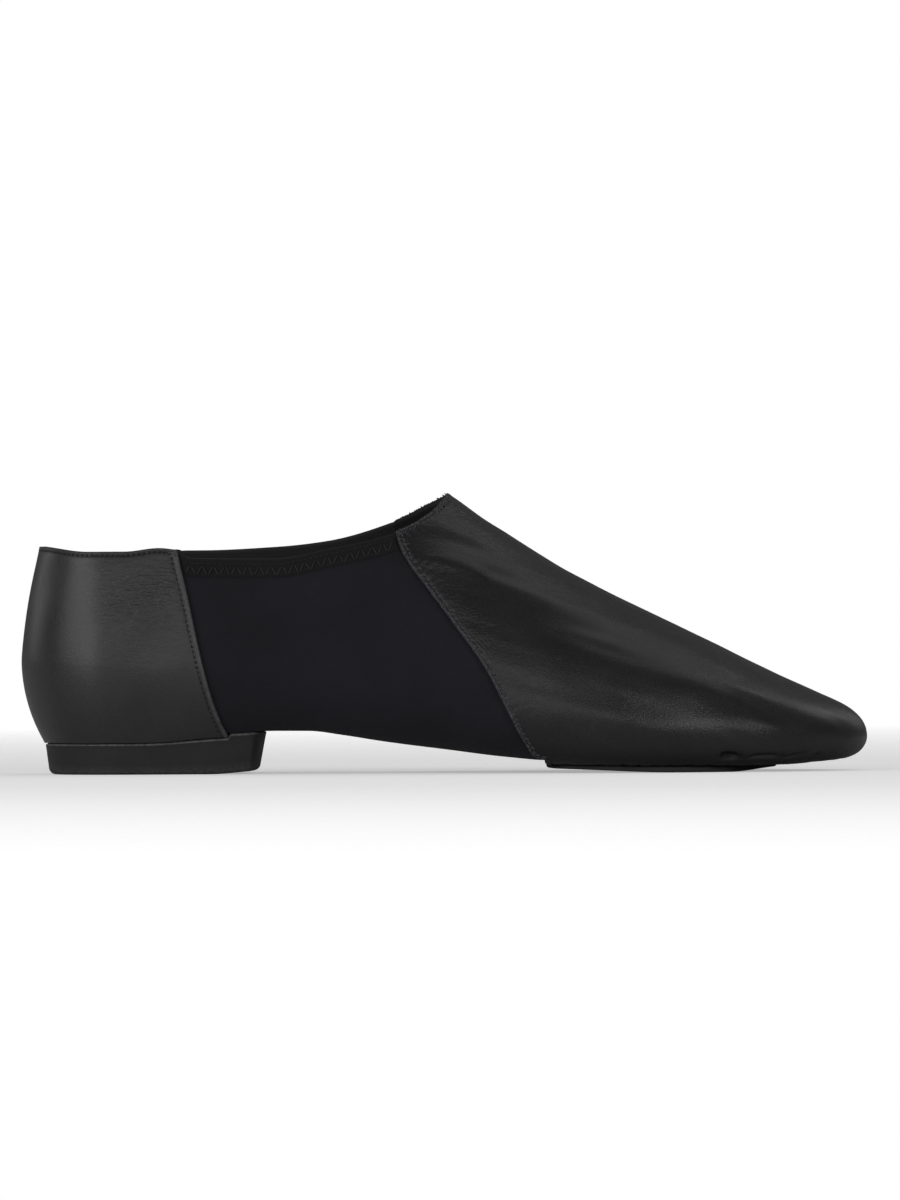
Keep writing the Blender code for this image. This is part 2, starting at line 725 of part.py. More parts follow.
def main():
    for old in list(bpy.data.objects):
        bpy.data.objects.remove(old)
    build_upper()
    build_overlay("heel_counter", 0, COUNTER_LINE)
    build_overlay("vamp", VAMP_LINE, LAST_LINE)
    build_forefoot_sole()
    build_heel_block()
    build_insole()


main()
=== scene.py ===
# The looks of a slip-on jazz shoe for the right foot: stretch upper, leather vamp and counter, split sole.
# X runs from heel to toe, +Y is the inner side of the foot, and Z is up from the floor, in metres.
import json
import math

import bpy
import numpy as np
from mathutils import Euler, Matrix, Vector

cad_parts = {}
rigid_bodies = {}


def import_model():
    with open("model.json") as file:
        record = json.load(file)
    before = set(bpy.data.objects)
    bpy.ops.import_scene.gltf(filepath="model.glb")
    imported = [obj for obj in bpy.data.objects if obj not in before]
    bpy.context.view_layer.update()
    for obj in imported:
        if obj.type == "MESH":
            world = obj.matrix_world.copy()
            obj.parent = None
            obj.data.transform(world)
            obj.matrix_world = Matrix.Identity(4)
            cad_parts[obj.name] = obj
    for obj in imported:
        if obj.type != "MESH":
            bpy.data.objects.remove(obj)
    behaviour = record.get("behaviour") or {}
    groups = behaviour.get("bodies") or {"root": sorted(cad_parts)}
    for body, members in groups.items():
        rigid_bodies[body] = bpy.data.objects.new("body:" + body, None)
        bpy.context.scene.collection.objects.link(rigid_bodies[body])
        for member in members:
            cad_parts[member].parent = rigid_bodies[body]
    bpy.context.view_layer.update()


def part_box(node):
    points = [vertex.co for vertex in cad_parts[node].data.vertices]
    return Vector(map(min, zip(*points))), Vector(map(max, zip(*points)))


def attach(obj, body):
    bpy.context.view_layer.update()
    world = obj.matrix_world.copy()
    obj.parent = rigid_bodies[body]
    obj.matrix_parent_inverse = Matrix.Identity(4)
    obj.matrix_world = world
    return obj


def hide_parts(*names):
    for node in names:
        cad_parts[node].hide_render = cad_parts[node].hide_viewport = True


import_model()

mm = 0.001
outerSide, innerSide = -1, 1
bothSides = (outerSide, innerSide)

# The last that every piece is shaped on: sizes in metres, places as shares of the length
last = {
    "length": 0.2500, "ballWidth": 0.0845, "throatHeight": 0.0824, "collarHeight": 0.0674,
    "heelHeight": 0.0090, "toeSpring": 0.0036, "soleThickness": 0.0017, "clearance": 0.0003,
    "leather": 0.0009, "wall": 0.0014, "hemBand": 0.0058, "hemStep": 0.0005, "lastingMargin": 0.0095,
    "heelCentre": 0.128, "toeCentre": 0.700, "throatPeak": 0.505,
    "heelHoleRound": 0.170, "heelHoleFront": 0.228, "foreHoleBack": 0.648, "foreHoleRound": 0.700,
    "soleBack": 0.620, "soleFront": 0.892, "heelBlockFront": 0.2895,
    "heelRound": 2.1, "toeRound": {outerSide: 1.85, innerSide: 2.0}, "noseRound": 24.0,
}
upperDepth = last["leather"] + last["clearance"]
liningDepth = upperDepth + last["wall"]

# Half widths from the ridge, in shares of the ball width
planColumns = ("at", "outer", "inner")
planRows = (
    (0.000, 0.343, 0.343), (0.128, 0.343, 0.343), (0.240, 0.352, 0.336), (0.320, 0.370, 0.325),
    (0.380, 0.394, 0.324), (0.444, 0.430, 0.330), (0.505, 0.474, 0.350), (0.566, 0.514, 0.384),
    (0.637, 0.546, 0.424), (0.700, 0.556, 0.444),
)
# Lean of the ridge, flat share underneath, heights of the widest line and the ridge, and the wall's exponents
sectionColumns = ("at", "spine", "tread", "belly", "crest", "bow", "roll")
sectionRows = (
    (0.000, 0.000, 0.788, 0.408, 1.360, 1.35, 1.0),
    (0.128, 0.000, 0.835, 0.382, 1.300, 1.42, 1.0),
    (0.240, 0.000, 0.800, 0.367, 1.215, 1.55, 1.3),
    (0.320, 0.006, 0.640, 0.352, 1.180, 1.62, 2.0),
    (0.380, 0.012, 0.590, 0.332, 1.157, 1.70, 2.0),
    (0.444, 0.022, 0.590, 0.302, 1.097, 1.80, 2.0),
    (0.505, 0.032, 0.640, 0.270, 1.000, 1.86, 2.0),
    (0.566, 0.040, 0.715, 0.233, 0.873, 1.92, 2.0),
    (0.637, 0.046, 0.805, 0.194, 0.738, 1.95, 2.0),
    (0.700, 0.048, 0.865, 0.166, 0.635, 1.98, 2.0),
    (0.800, 0.058, 0.890, 0.144, 0.487, 2.00, 2.0),
    (0.874, 0.064, 0.895, 0.134, 0.376, 2.00, 2.0),
    (0.940, 0.064, 0.895, 0.128, 0.284, 2.00, 2.0),
    (1.000, 0.060, 0.895, 0.124, 0.211, 2.00, 2.0),
)
undersideColumns = ("at", "lift", "spring")
undersideRows = (
    (0.000, 1.000, 0.00), (0.140, 1.000, 0.00), (0.244, 1.215, 0.00), (0.300, 1.300, 0.00),
    (0.340, 1.290, 0.00), (0.378, 1.125, 0.00), (0.424, 0.880, 0.00), (0.495, 0.535, 0.00),
    (0.566, 0.225, 0.00), (0.620, 0.075, 0.00), (0.700, 0.035, 0.00), (0.780, 0.000, 0.00),
    (0.850, 0.000, 0.00), (0.890, 0.000, 0.03), (0.924, 0.000, 0.14), (0.960, 0.000, 0.36),
    (1.000, 0.000, 0.75),
)
collarColumns = ("at", "outer", "inner")
collarRows = (
    (0.000, 1.000, 1.000), (0.070, 0.974, 0.974), (0.125, 0.974, 0.974), (0.165, 0.989, 0.989),
    (0.186, 0.979, 0.984), (0.198, 0.952, 0.984), (0.215, 0.947, 0.984), (0.300, 0.944, 0.998),
    (0.363, 0.985, 1.025), (0.444, 1.060, 1.114), (0.486, 1.147, 1.190), (0.505, 1.223, 1.223),
)
seamColumns = ("height", "at")
counterRows = (
    (0.160, 0.2460), (0.215, 0.2385), (0.368, 0.2240), (0.540, 0.2125), (0.760, 0.2000), (0.990, 0.1855),
)
vampRows = (
    (0.056, 0.619), (0.068, 0.605), (0.114, 0.596), (0.215, 0.580), (0.341, 0.564), (0.467, 0.546),
    (0.585, 0.524), (0.711, 0.499), (0.829, 0.476), (0.920, 0.458), (1.004, 0.447), (1.057, 0.4436),
)


def curveThrough(columns, rows, name, scale=1.0, along=last["length"]):
    # smooth, with no overshoot between the rows
    places = np.array([row[0] for row in rows]) * along
    values = np.array([row[columns.index(name)] for row in rows]) * scale
    gaps = np.diff(places)
    slopes = np.diff(values) / gaps
    tangents = np.empty(len(places))
    tangents[0], tangents[-1] = slopes[0], slopes[-1]
    for k in range(1, len(places) - 1):
        before, after = slopes[k - 1], slopes[k]
        near, far = 2 * gaps[k] + gaps[k - 1], gaps[k] + 2 * gaps[k - 1]
        tangents[k] = 0 if before * after <= 0 else (near + far) / (near / before + far / after)

    def at(place):
        place = np.asarray(place, float)
        k = np.clip(np.searchsorted(places, place) - 1, 0, len(gaps) - 1)
        t = np.clip((place - places[k]) / gaps[k], 0, 1)
        rise = (2 * t**3 - 3 * t**2 + 1) * values[k] + (3 * t**2 - 2 * t**3) * values[k + 1]
        lean = (t**3 - 2 * t**2 + t) * tangents[k] + (t**3 - t**2) * tangents[k + 1]
        return rise + gaps[k] * lean

    return at


sideNames = {outerSide: "outer", innerSide: "inner"}
sideWidth = {s: curveThrough(planColumns, planRows, n, last["ballWidth"]) for s, n in sideNames.items()}
spineY = curveThrough(sectionColumns, sectionRows, "spine", last["ballWidth"])
treadShare = curveThrough(sectionColumns, sectionRows, "tread")
bellyHeight = curveThrough(sectionColumns, sectionRows, "belly", last["throatHeight"])
crestHeight = curveThrough(sectionColumns, sectionRows, "crest", last["throatHeight"])
bowExponent = curveThrough(sectionColumns, sectionRows, "bow")
rollExponent = curveThrough(sectionColumns, sectionRows, "roll")
liftShare = curveThrough(undersideColumns, undersideRows, "lift")
springShare = curveThrough(undersideColumns, undersideRows, "spring")
collarEdge = {s: curveThrough(collarColumns, collarRows, n, last["collarHeight"])
              for s, n in sideNames.items()}
counterSeam = curveThrough(seamColumns, counterRows, "at", last["length"], last["collarHeight"])
vampSeam = curveThrough(seamColumns, vampRows, "at", last["length"], last["collarHeight"])
heelX, toeX = last["heelCentre"] * last["length"], last["toeCentre"] * last["length"]
peakX = last["throatPeak"] * last["length"]


def smoothStep(t):
    t = np.clip(t, 0, 1)
    return t * t * (3 - 2 * t)


def undersideHeight(x):
    seat = last["soleThickness"] + last["clearance"]
    rise = (last["heelHeight"] - last["soleThickness"]) * liftShare(x)
    return seat + rise + last["toeSpring"] * springShare(x)


def toeReach(x):
    return np.clip((x - toeX) / (last["length"] - toeX), 0, 1)


def toeWidth(side, x):
    power = last["toeRound"][side]
    return sideWidth[side](toeX) * (1 - toeReach(x)**power) ** (1 / power)


def ovalRadius(length, width, power, along, across):
    return ((along / length) ** power + (across / width) ** power) ** (-1 / power)


def domeHeight(x, share):
    belly = bellyHeight(x)
    rise = (crestHeight(x) - belly) * np.sqrt(1 - toeReach(x)**last["noseRound"])
    return belly + rise * (1 - np.clip(share, 0, 1) ** 2) ** (1 / bowExponent(x))


def topHeight(side, x):
    ridge = domeHeight(x, 0.0)
    return np.where(x < peakX, np.minimum(collarEdge[side](x), ridge), ridge)


def riseAngle(x, height):
    belly = bellyHeight(x)
    share = np.clip((height - belly) / (crestHeight(x) - belly), 0, 1)
    return np.arcsin(share ** (bowExponent(x) / 2))


def topAngle(side, x):
    return np.where(x >= peakX, math.pi / 2, riseAngle(x, topHeight(side, x)))


def formPoint(side, station, level):
    # station: 0 to 1 round the heel, 1 to 2 along the foot, 2 to 3 round the toe
    # level: -1 middle of the underside, 0 its edge, 1 widest line, 2 top edge
    station, level = np.broadcast_arrays(np.asarray(station, float), np.asarray(level, float))
    back = np.clip(1 - station, 0, 1) * math.pi / 2
    front = np.clip(station - 2, 0, 1) * math.pi / 2
    centre = heelX + np.clip(station - 1, 0, 1) * (toeX - heelX)
    along = np.where(station < 1, -np.sin(back), np.sin(front))
    across = np.clip(np.where(station < 1, np.cos(back), np.cos(front)), 0, 1)
    width = sideWidth[side](centre)
    heelRadius = ovalRadius(heelX, width, last["heelRound"], np.abs(along), across)
    toeRadius = ovalRadius(last["length"] - toeX, width, last["toeRound"][side], np.abs(along), across)
    widest = np.where(station < 1, heelRadius, np.where(station > 2, toeRadius, width))
    edgeX = centre + widest * along
    tread = widest * treadShare(edgeX)
    seat, belly = undersideHeight(centre + tread * along), bellyHeight(edgeX)
    roll = np.clip(level, 0, 1) * math.pi / 2
    lowerRadius = tread + (widest - tread) * np.sin(roll) ** (2 / rollExponent(edgeX))
    lowerHeight = belly - (belly - seat) * np.cos(roll)
    sweep = np.clip(level - 1, 0, 1) * topAngle(side, edgeX)
    upperRadius = widest * np.cos(sweep)
    upperX = np.where(station > 2, centre + upperRadius * along, edgeX)
    ahead = np.where(station > 2, upperRadius * across / np.maximum(toeWidth(side, upperX), widest * mm), 0)
    lean = np.where(station > 2, np.minimum(ahead, 1), np.cos(sweep))
    radius = np.where(level <= 0, tread * (1 + np.clip(level, -1, 0)),
                      np.where(level <= 1, lowerRadius, upperRadius))
    x = centre + radius * along
    height = np.where(level <= 0, undersideHeight(x),
                      np.where(level <= 1, lowerHeight, domeHeight(upperX, lean)))
    return np.stack([x, spineY(x) + side * radius * across, height], axis=-1)


def stationAt(x):
    return 1 + (x - heelX) / (toeX - heelX)


def placeAt(station):
    return heelX * np.clip(station, 0, 1) + np.clip(station - 1, 0, 1) * (toeX - heelX)


def hemLevel(side, station):
    x = placeAt(station)
    top = topHeight(side, x)
    band = np.minimum(last["hemBand"], (top - bellyHeight(x)) / 2)
    return 1 + riseAngle(x, top - band) / topAngle(side, x)


def treadRadius(side, station):
    spoke = formPoint(side, station, 0.0) - formPoint(side, station, -1.0)
    return np.hypot(spoke[..., 0], spoke[..., 1])


def holeReach(station, tread):
    place = placeAt(station) / last["length"]
    reach = np.maximum(tread - last["lastingMargin"], 0)
    heelEnd = (place - last["heelHoleRound"]) / (last["heelHoleFront"] - last["heelHoleRound"])
    foreEnd = (last["foreHoleRound"] - place) / (last["foreHoleRound"] - last["foreHoleBack"])
    end = np.where(place > last["heelHoleFront"], np.clip(foreEnd, 0, 1), np.clip(heelEnd, 0, 1))
    return reach * np.sqrt(1 - end**2)


def holeLevel(side, station):
    tread = treadRadius(side, station)
    front = np.clip(station - 2, 0, 1) * math.pi / 2
    across = holeReach(2.0, treadRadius(side, 2.0))
    ahead = (last["soleFront"] - last["toeCentre"]) * last["length"] - last["lastingMargin"]
    oval = ovalRadius(ahead, across, last["toeRound"][side], np.sin(front), np.cos(front))
    return np.where(station > 2, oval, holeReach(station, tread)) / tread - 1


def levelAt(side, station, row):
    # rows: -1 edge of the opening underneath, 0 feather edge, 1 widest line, 2 hem's lower line, 3 top edge
    band = hemLevel(side, station)
    wall = np.where(row <= 2, 1 + (band - 1) * (row - 1), band + (2 - band) * (row - 2))
    return np.where(row <= 0, -row * holeLevel(side, station), np.where(row <= 1, row, wall))


def seamStation(side, seam, rows):
    low, high = np.full_like(rows, heelX), np.full_like(rows, toeX)
    for _ in range(40):
        x = (low + high) / 2
        station = stationAt(x)
        behind = x < seam(formPoint(side, station, levelAt(side, station, rows))[..., 2])
        low, high = np.where(behind, x, low), np.where(behind, high, x)
    return stationAt((low + high) / 2)


def formNormal(side, station, level):
    step = 1e-3
    level = np.clip(level, -1 + 0.02, 2 - 0.02)
    rise = np.where(level < 0, -step, step)
    ahead = formPoint(side, np.minimum(station + step, 3), level)
    behind = formPoint(side, np.maximum(station - step, 0), level)
    up = (formPoint(side, station, level + rise) - formPoint(side, station, level)) * np.sign(rise)[..., None]
    normal = np.cross(ahead - behind, up) * -side
    return normal / np.maximum(np.linalg.norm(normal, axis=-1, keepdims=True), 1e-15)


def sunkPoint(side, station, level, depth):
    # moved inwards by a depth, square to the form, and along a mitre at the feather edge
    station, level = np.broadcast_arrays(np.asarray(station, float), np.asarray(level, float))
    normal = formNormal(side, station, level)
    wall = formNormal(side, station, np.maximum(level, 0) + 0.05)
    mitre = wall + np.array([0, 0, -1])
    mitre /= np.linalg.norm(mitre, axis=-1, keepdims=True)
    mitre /= -mitre[..., 2:3]
    near = smoothStep(1 - np.abs(level) / 0.04)[..., None]
    normal = normal * (1 - near) + mitre * near
    return formPoint(side, station, level) - normal * np.asarray(depth)[..., None]


widestStations = np.linspace(0, 3, 1201)
shoeShift = np.array([-last["length"] / 2,
                      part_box("vamp")[0].y - formPoint(outerSide, widestStations, 1.0)[:, 1].min(), 0])
print("last ready, moved sideways by %.2f mm" % (shoeShift[1] / mm))


# Reading and building meshes

def spread(length, fine, coarse, ramp):
    # shares from 0 to 1 whose steps grow from fine to coarse over a ramp, all in metres
    places, step = [0.0], fine
    while places[-1] < length:
        places.append(places[-1] + step)
        step = fine + (coarse - fine) * float(smoothStep(places[-1] / ramp))
    return np.array(places) / places[-1]


def joinShares(guides, shares):
    # stations along one side: each stretch between two guides is divided by its own shares
    columns = [guides[0]]
    for start, end, parts in zip(guides, guides[1:], shares):
        columns += [start + (end - start) * part for part in parts[1:]]
    return np.stack(columns)


def nearestOn(points, line):
    # distance from each point to a polyline, and how far along it that is
    starts, steps = line[:-1], np.diff(line, axis=0)
    lengths = np.linalg.norm(steps, axis=1)
    runs = np.concatenate([[0], np.cumsum(lengths)])
    best, place = np.full(len(points), 9.0), np.zeros(len(points))
    for start, step, length, run in zip(starts, steps, lengths, runs):
        t = np.clip((points - start) @ step / max(length**2, 1e-18), 0, 1)
        gap = np.linalg.norm(points - start - t[:, None] * step, axis=1)
        closer = gap < best
        best, place = np.where(closer, gap, best), np.where(closer, run + t * length, place)
    return best, place, runs[-1]


def ripple(points, size, seed, waves=14):
    # soft unevenness of a surface between -1 and 1, from a few plane waves
    rng = np.random.default_rng(seed)
    total = np.zeros(points.shape[:-1])
    for _ in range(waves):
        direction = rng.normal(size=3)
        direction /= np.linalg.norm(direction)
        turn = points @ direction * 2 * math.pi / (size * rng.uniform(0.7, 1.5))
        total += np.sin(turn + rng.uniform(0, 6.28))
    return total / math.sqrt(waves)


def gridFaces(ids, flip):
    a, b, c, d = ids[:-1, :-1], ids[1:, :-1], ids[1:, 1:], ids[:-1, 1:]
    quads = np.stack([a, b, c, d], axis=-1).reshape(-1, 4)
    if flip:
        quads = quads[:, ::-1]
    faces = []
    for quad in quads.tolist():
        face = [quad[k] for k in range(4) if quad[k] != quad[k - 1]]
        if len(set(face)) == len(face) >= 3:
            faces.append(tuple(face))
    return faces


def borderEdges(faces):
    edges = {(face[k - 1], face[k]) for face in faces for k in range(len(face))}
    return [edge for edge in edges if edge[::-1] not in edges]


def newObject(name, points, faces, attributes=None, indices=None):
    mesh = bpy.data.meshes.new(name)
    mesh.from_pydata((points + shoeShift).tolist(), [], faces)
    for label, values in (attributes or {}).items():
        layer = mesh.attributes.new(label, "FLOAT", "POINT")
        layer.data.foreach_set("value", np.asarray(values, np.float32))
    if indices is not None:
        mesh.polygons.foreach_set("material_index", np.asarray(indices, np.int32))
    mesh.polygons.foreach_set("use_smooth", [True] * len(mesh.polygons))
    mesh.update()
    mesh.validate()
    piece = bpy.data.objects.new(name, mesh)
    bpy.context.scene.collection.objects.link(piece)
    return piece


def quarterRound(gap, radius):
    # how far a sheet turns in at a distance from its border
    share = 1 - np.clip(gap / radius, 0, 1)
    return radius * (1 - np.sqrt(1 - share**2))


def closeShell(name, outer, inner, faces, attributes, roundness=0.3, rings=(0.5,)):
    # outer and inner sheets with the same faces, closed along every border
    count = len(outer)
    border = borderEdges(faces)
    rim = sorted({v for edge in border for v in edge})
    order = {v: k for k, v in enumerate(rim)}
    tangents = np.zeros((len(rim), 3))
    for a, b in border:
        step = outer[b] - outer[a]
        tangents[order[a]] += step
        tangents[order[b]] += step
    through = outer[rim] - inner[rim]
    away = np.cross(tangents, through)
    away /= np.maximum(np.linalg.norm(away, axis=1, keepdims=True), 1e-12)
    thickness = np.linalg.norm(through, axis=1, keepdims=True)
    layers = [outer, inner]
    for t in rings:
        bulge = thickness * roundness * math.sin(math.pi * t)
        layers.append(outer[rim] * (1 - t) + inner[rim] * t + away * bulge)
    allFaces = list(faces) + [tuple(count + v for v in face[::-1]) for face in faces]
    indices = [0] * len(faces) + [1] * len(faces)
    chain = [lambda v: v] + [(lambda v, k=k: 2 * count + k * len(rim) + order[v]) for k in range(len(rings))]
    chain.append(lambda v: count + v)
    for a, b in border:
        for near, far in zip(chain, chain[1:]):
            allFaces.append((near(b), near(a), far(a), far(b)))
            indices.append(0)
    values = {label: np.concatenate([v, v] + [v[rim]] * len(rings)) for label, v in attributes.items()}
    return newObject(name, np.concatenate(layers), allFaces, values, indices)


class Wall:
    # one sheet of the form over both sides, as a grid of stations and rows
    def __init__(self, guides, shares, rows, backMeets, frontMeets, peak=None, toe=None):
        self.rows = rows
        self.stations, self.levels, self.base = {}, {}, {}
        for side in bothSides:
            stations = joinShares([np.broadcast_to(g, rows.shape) for g in guides(side, rows)], shares)
            levels = levelAt(side, stations, rows[None, :])
            self.stations[side], self.levels[side] = stations, levels
            self.base[side] = formPoint(side, stations, levels)
        lines = [0] + list(np.cumsum([len(s) - 1 for s in shares]))
        self.lines = lines
        shape = self.stations[outerSide].shape
        own = np.arange(shape[0] * shape[1]).reshape(shape)
        ids = {outerSide: own, innerSide: own + own.size}
        shared = np.zeros(shape, bool)
        shared[0, :] |= backMeets
        shared[-1, :] |= frontMeets
        if peak is not None:
            shared[lines[peak]:, -1] = True
        if rows[0] < -0.99:
            shared[:, 0] |= self.levels[outerSide][:, 0] < -0.999
        ids[innerSide] = np.where(shared, ids[outerSide], ids[innerSide])
        if toe is not None:
            for side in bothSides:
                ids[side][lines[toe]:, -1] = ids[outerSide][lines[toe], -1]
        used = np.unique(np.concatenate([ids[s].ravel() for s in bothSides]))
        self.count = len(used)
        self.ids = {side: np.searchsorted(used, ids[side]) for side in bothSides}
        self.faces = gridFaces(self.ids[outerSide], False) + gridFaces(self.ids[innerSide], True)

    def flat(self, values):
        # one value or point for each vertex, averaged where the sides meet
        first = np.asarray(values[outerSide])
        total = np.zeros((self.count,) + first.shape[2:])
        times = np.zeros(self.count)
        for side in bothSides:
            np.add.at(total, self.ids[side].ravel(), values[side].reshape((-1,) + first.shape[2:]))
            np.add.at(times, self.ids[side].ravel(), 1)
        return total / times.reshape((-1,) + (1,) * (first.ndim - 2))

    def sheet(self, depths):
        return self.flat({side: sunkPoint(side, self.stations[side], self.levels[side], depths[side])
                          for side in bothSides})


def ontoForm(side, target, station, level):
    # nearest point of the form to each target, by small steps from a first guess
    step = 1e-4
    for _ in range(12):
        here = formPoint(side, station, level)
        byStation = (formPoint(side, station + step, level) - here) / step
        byLevel = (formPoint(side, station, level + step) - here) / step
        gap = target - here
        a, b, c = (byStation**2).sum(1), (byStation * byLevel).sum(1), (byLevel**2).sum(1)
        p, q = (byStation * gap).sum(1), (byLevel * gap).sum(1)
        determinant = np.maximum(a * c - b * b, 1e-14)
        station = np.clip(station + np.clip((c * p - b * q) / determinant, -0.02, 0.02), 0, 3)
        level = np.clip(level + np.clip((a * q - b * p) / determinant, -0.05, 0.05), 0, 2 - step)
    return station, level


def levelForHeight(side, station, height):
    low, high = np.zeros_like(station), np.full_like(station, 2.0)
    for _ in range(30):
        middle = (low + high) / 2
        under = formPoint(side, station, middle)[..., 2] < height
        low, high = np.where(under, middle, low), np.where(under, high, middle)
    return (low + high) / 2


# Folds and creases of the leather, listed one by one. Each has its course as millimetres from the heel and
# above the floor, seen from its own side, then its half width and its height, which is negative in a trough.
folds = {
    "rows": (
        (outerSide, ((115, 60), (124, 60.2), (133, 58.5), (146, 54), (159, 49.5), (171, 46)), 3.8, 0.50),
        (outerSide, ((112.5, 62.4), (120, 62.8), (128, 61.6), (138, 58)), 2.8, 0.70),
        (outerSide, ((116, 70), (124, 69.5), (134, 66.5), (146, 61.5)), 2.2, -0.32),
        (outerSide, ((146, 47), (159, 43.5), (171, 41.5), (184, 38)), 3.4, -0.20),
        (outerSide, ((149, 38), (160, 35.5), (171, 32.5), (183, 30), (195, 27), (207, 24.5), (220, 22.5),
                     (232, 18)), 4.4, 0.34),
        (outerSide, ((128, 36), (136, 32), (147, 27.5), (159, 24.8), (171, 23), (183, 20.5), (195, 19),
                     (207, 18.5), (221, 17)), 4.0, -0.30),
        (outerSide, ((143, 20), (150, 18.5), (159, 17.5), (171, 16.8), (183, 13.6), (195, 12.8), (207, 12.4),
                     (220, 12.4)), 3.6, 0.26),
        (outerSide, ((205.0, 4.9), (208.6, 4.4), (211.9, 4.0)), 1.3, -2.5),
        (outerSide, ((211.5, 3.6), (217, 4.7), (225.0, 5.0)), 0.75, -1.1),
        (outerSide, ((222.0, 3.8), (227, 4.7), (231.5, 6.1)), 0.75, -1.0),
        (outerSide, ((232.0, 4.0), (236.5, 5.3)), 0.7, -0.8),
        (innerSide, ((124, 65), (138, 60), (152, 53), (166, 45)), 3.8, -0.60),
        (innerSide, ((118, 61), (132, 56), (148, 48), (162, 40)), 4.0, 0.55),
        (innerSide, ((146, 35), (164, 32), (184, 29), (206, 25)), 4.2, 0.45),
        (innerSide, ((144, 28), (162, 25.5), (184, 23.5), (204, 20)), 3.6, -0.45),
        (innerSide, ((142, 22), (160, 19.5), (180, 18.5), (206, 15)), 3.6, 0.45),
    ),
}


def courseOn(side, points, wall):
    # a fold's course in space: each point is looked up on its side of the form, then joined smoothly
    base = wall.base[side].reshape(-1, 3)
    found = []
    for x, z in points:
        gap = np.hypot(base[:, 0] - x * mm, base[:, 2] - z * mm)
        found.append(base[gap.argmin()])
    found = np.array([2 * found[0] - found[1]] + found + [2 * found[-1] - found[-2]])
    course = []
    for k in range(1, len(found) - 2):
        p, q, r, s = found[k - 1:k + 3]
        for t in np.linspace(0, 1, 7)[:-1]:
            course.append(0.5 * (2 * q + (r - p) * t + (2 * p - 5 * q + 4 * r - s) * t**2
                                 + (3 * q - p - 3 * r + s) * t**3))
    return np.array(course + [found[-2]])


def foldRelief(wall, side, leastWidth=0.0):
    points = wall.base[side]
    flatPoints = points.reshape(-1, 3)
    total = np.zeros(len(flatPoints))
    for rowSide, course, width, height in folds["rows"]:
        gap, place, length = nearestOn(flatPoints, courseOn(rowSide, course, wall))
        taper = np.sin(math.pi * np.clip(place / length, 0, 1)) ** 0.7 if width > leastWidth else 1.0
        total += height * mm * taper * np.exp(-(gap / (max(width, leastWidth) * mm)) ** 2)
    return total.reshape(points.shape[:-1])


# Shader helpers

def addNode(tree, kind, inputs=None, **settings):
    node = tree.nodes.new(kind)
    for key, value in settings.items():
        setattr(node, key, value)
    for key, value in (inputs or {}).items():
        if isinstance(value, bpy.types.NodeSocket):
            tree.links.new(value, node.inputs[key])
        else:
            node.inputs[key].default_value = value
    return node


def calc(tree, operation, *values, clamp=False):
    return addNode(tree, "ShaderNodeMath", dict(enumerate(values)), operation=operation,
                   use_clamp=clamp).outputs[0]


def mixColour(tree, share, first, second, kind="MIX"):
    node = addNode(tree, "ShaderNodeMix", {0: share, 6: first, 7: second}, data_type="RGBA", blend_type=kind)
    return node.outputs[2]


def remap(tree, value, fromLow, fromHigh, toLow, toHigh):
    return addNode(tree, "ShaderNodeMapRange", {0: value, 1: fromLow, 2: fromHigh, 3: toLow, 4: toHigh},
                   clamp=True).outputs[0]


def newGroup(name, inputs, outputs):
    tree = bpy.data.node_groups.new(name, "ShaderNodeTree")
    for label, kind, value in inputs:
        socket = tree.interface.new_socket(name=label, in_out="INPUT", socket_type="NodeSocket" + kind)
        if value is not None:
            socket.default_value = value
    for label, kind in outputs:
        tree.interface.new_socket(name=label, in_out="OUTPUT", socket_type="NodeSocket" + kind)
    return tree, tree.nodes.new("NodeGroupInput").outputs, tree.nodes.new("NodeGroupOutput").inputs


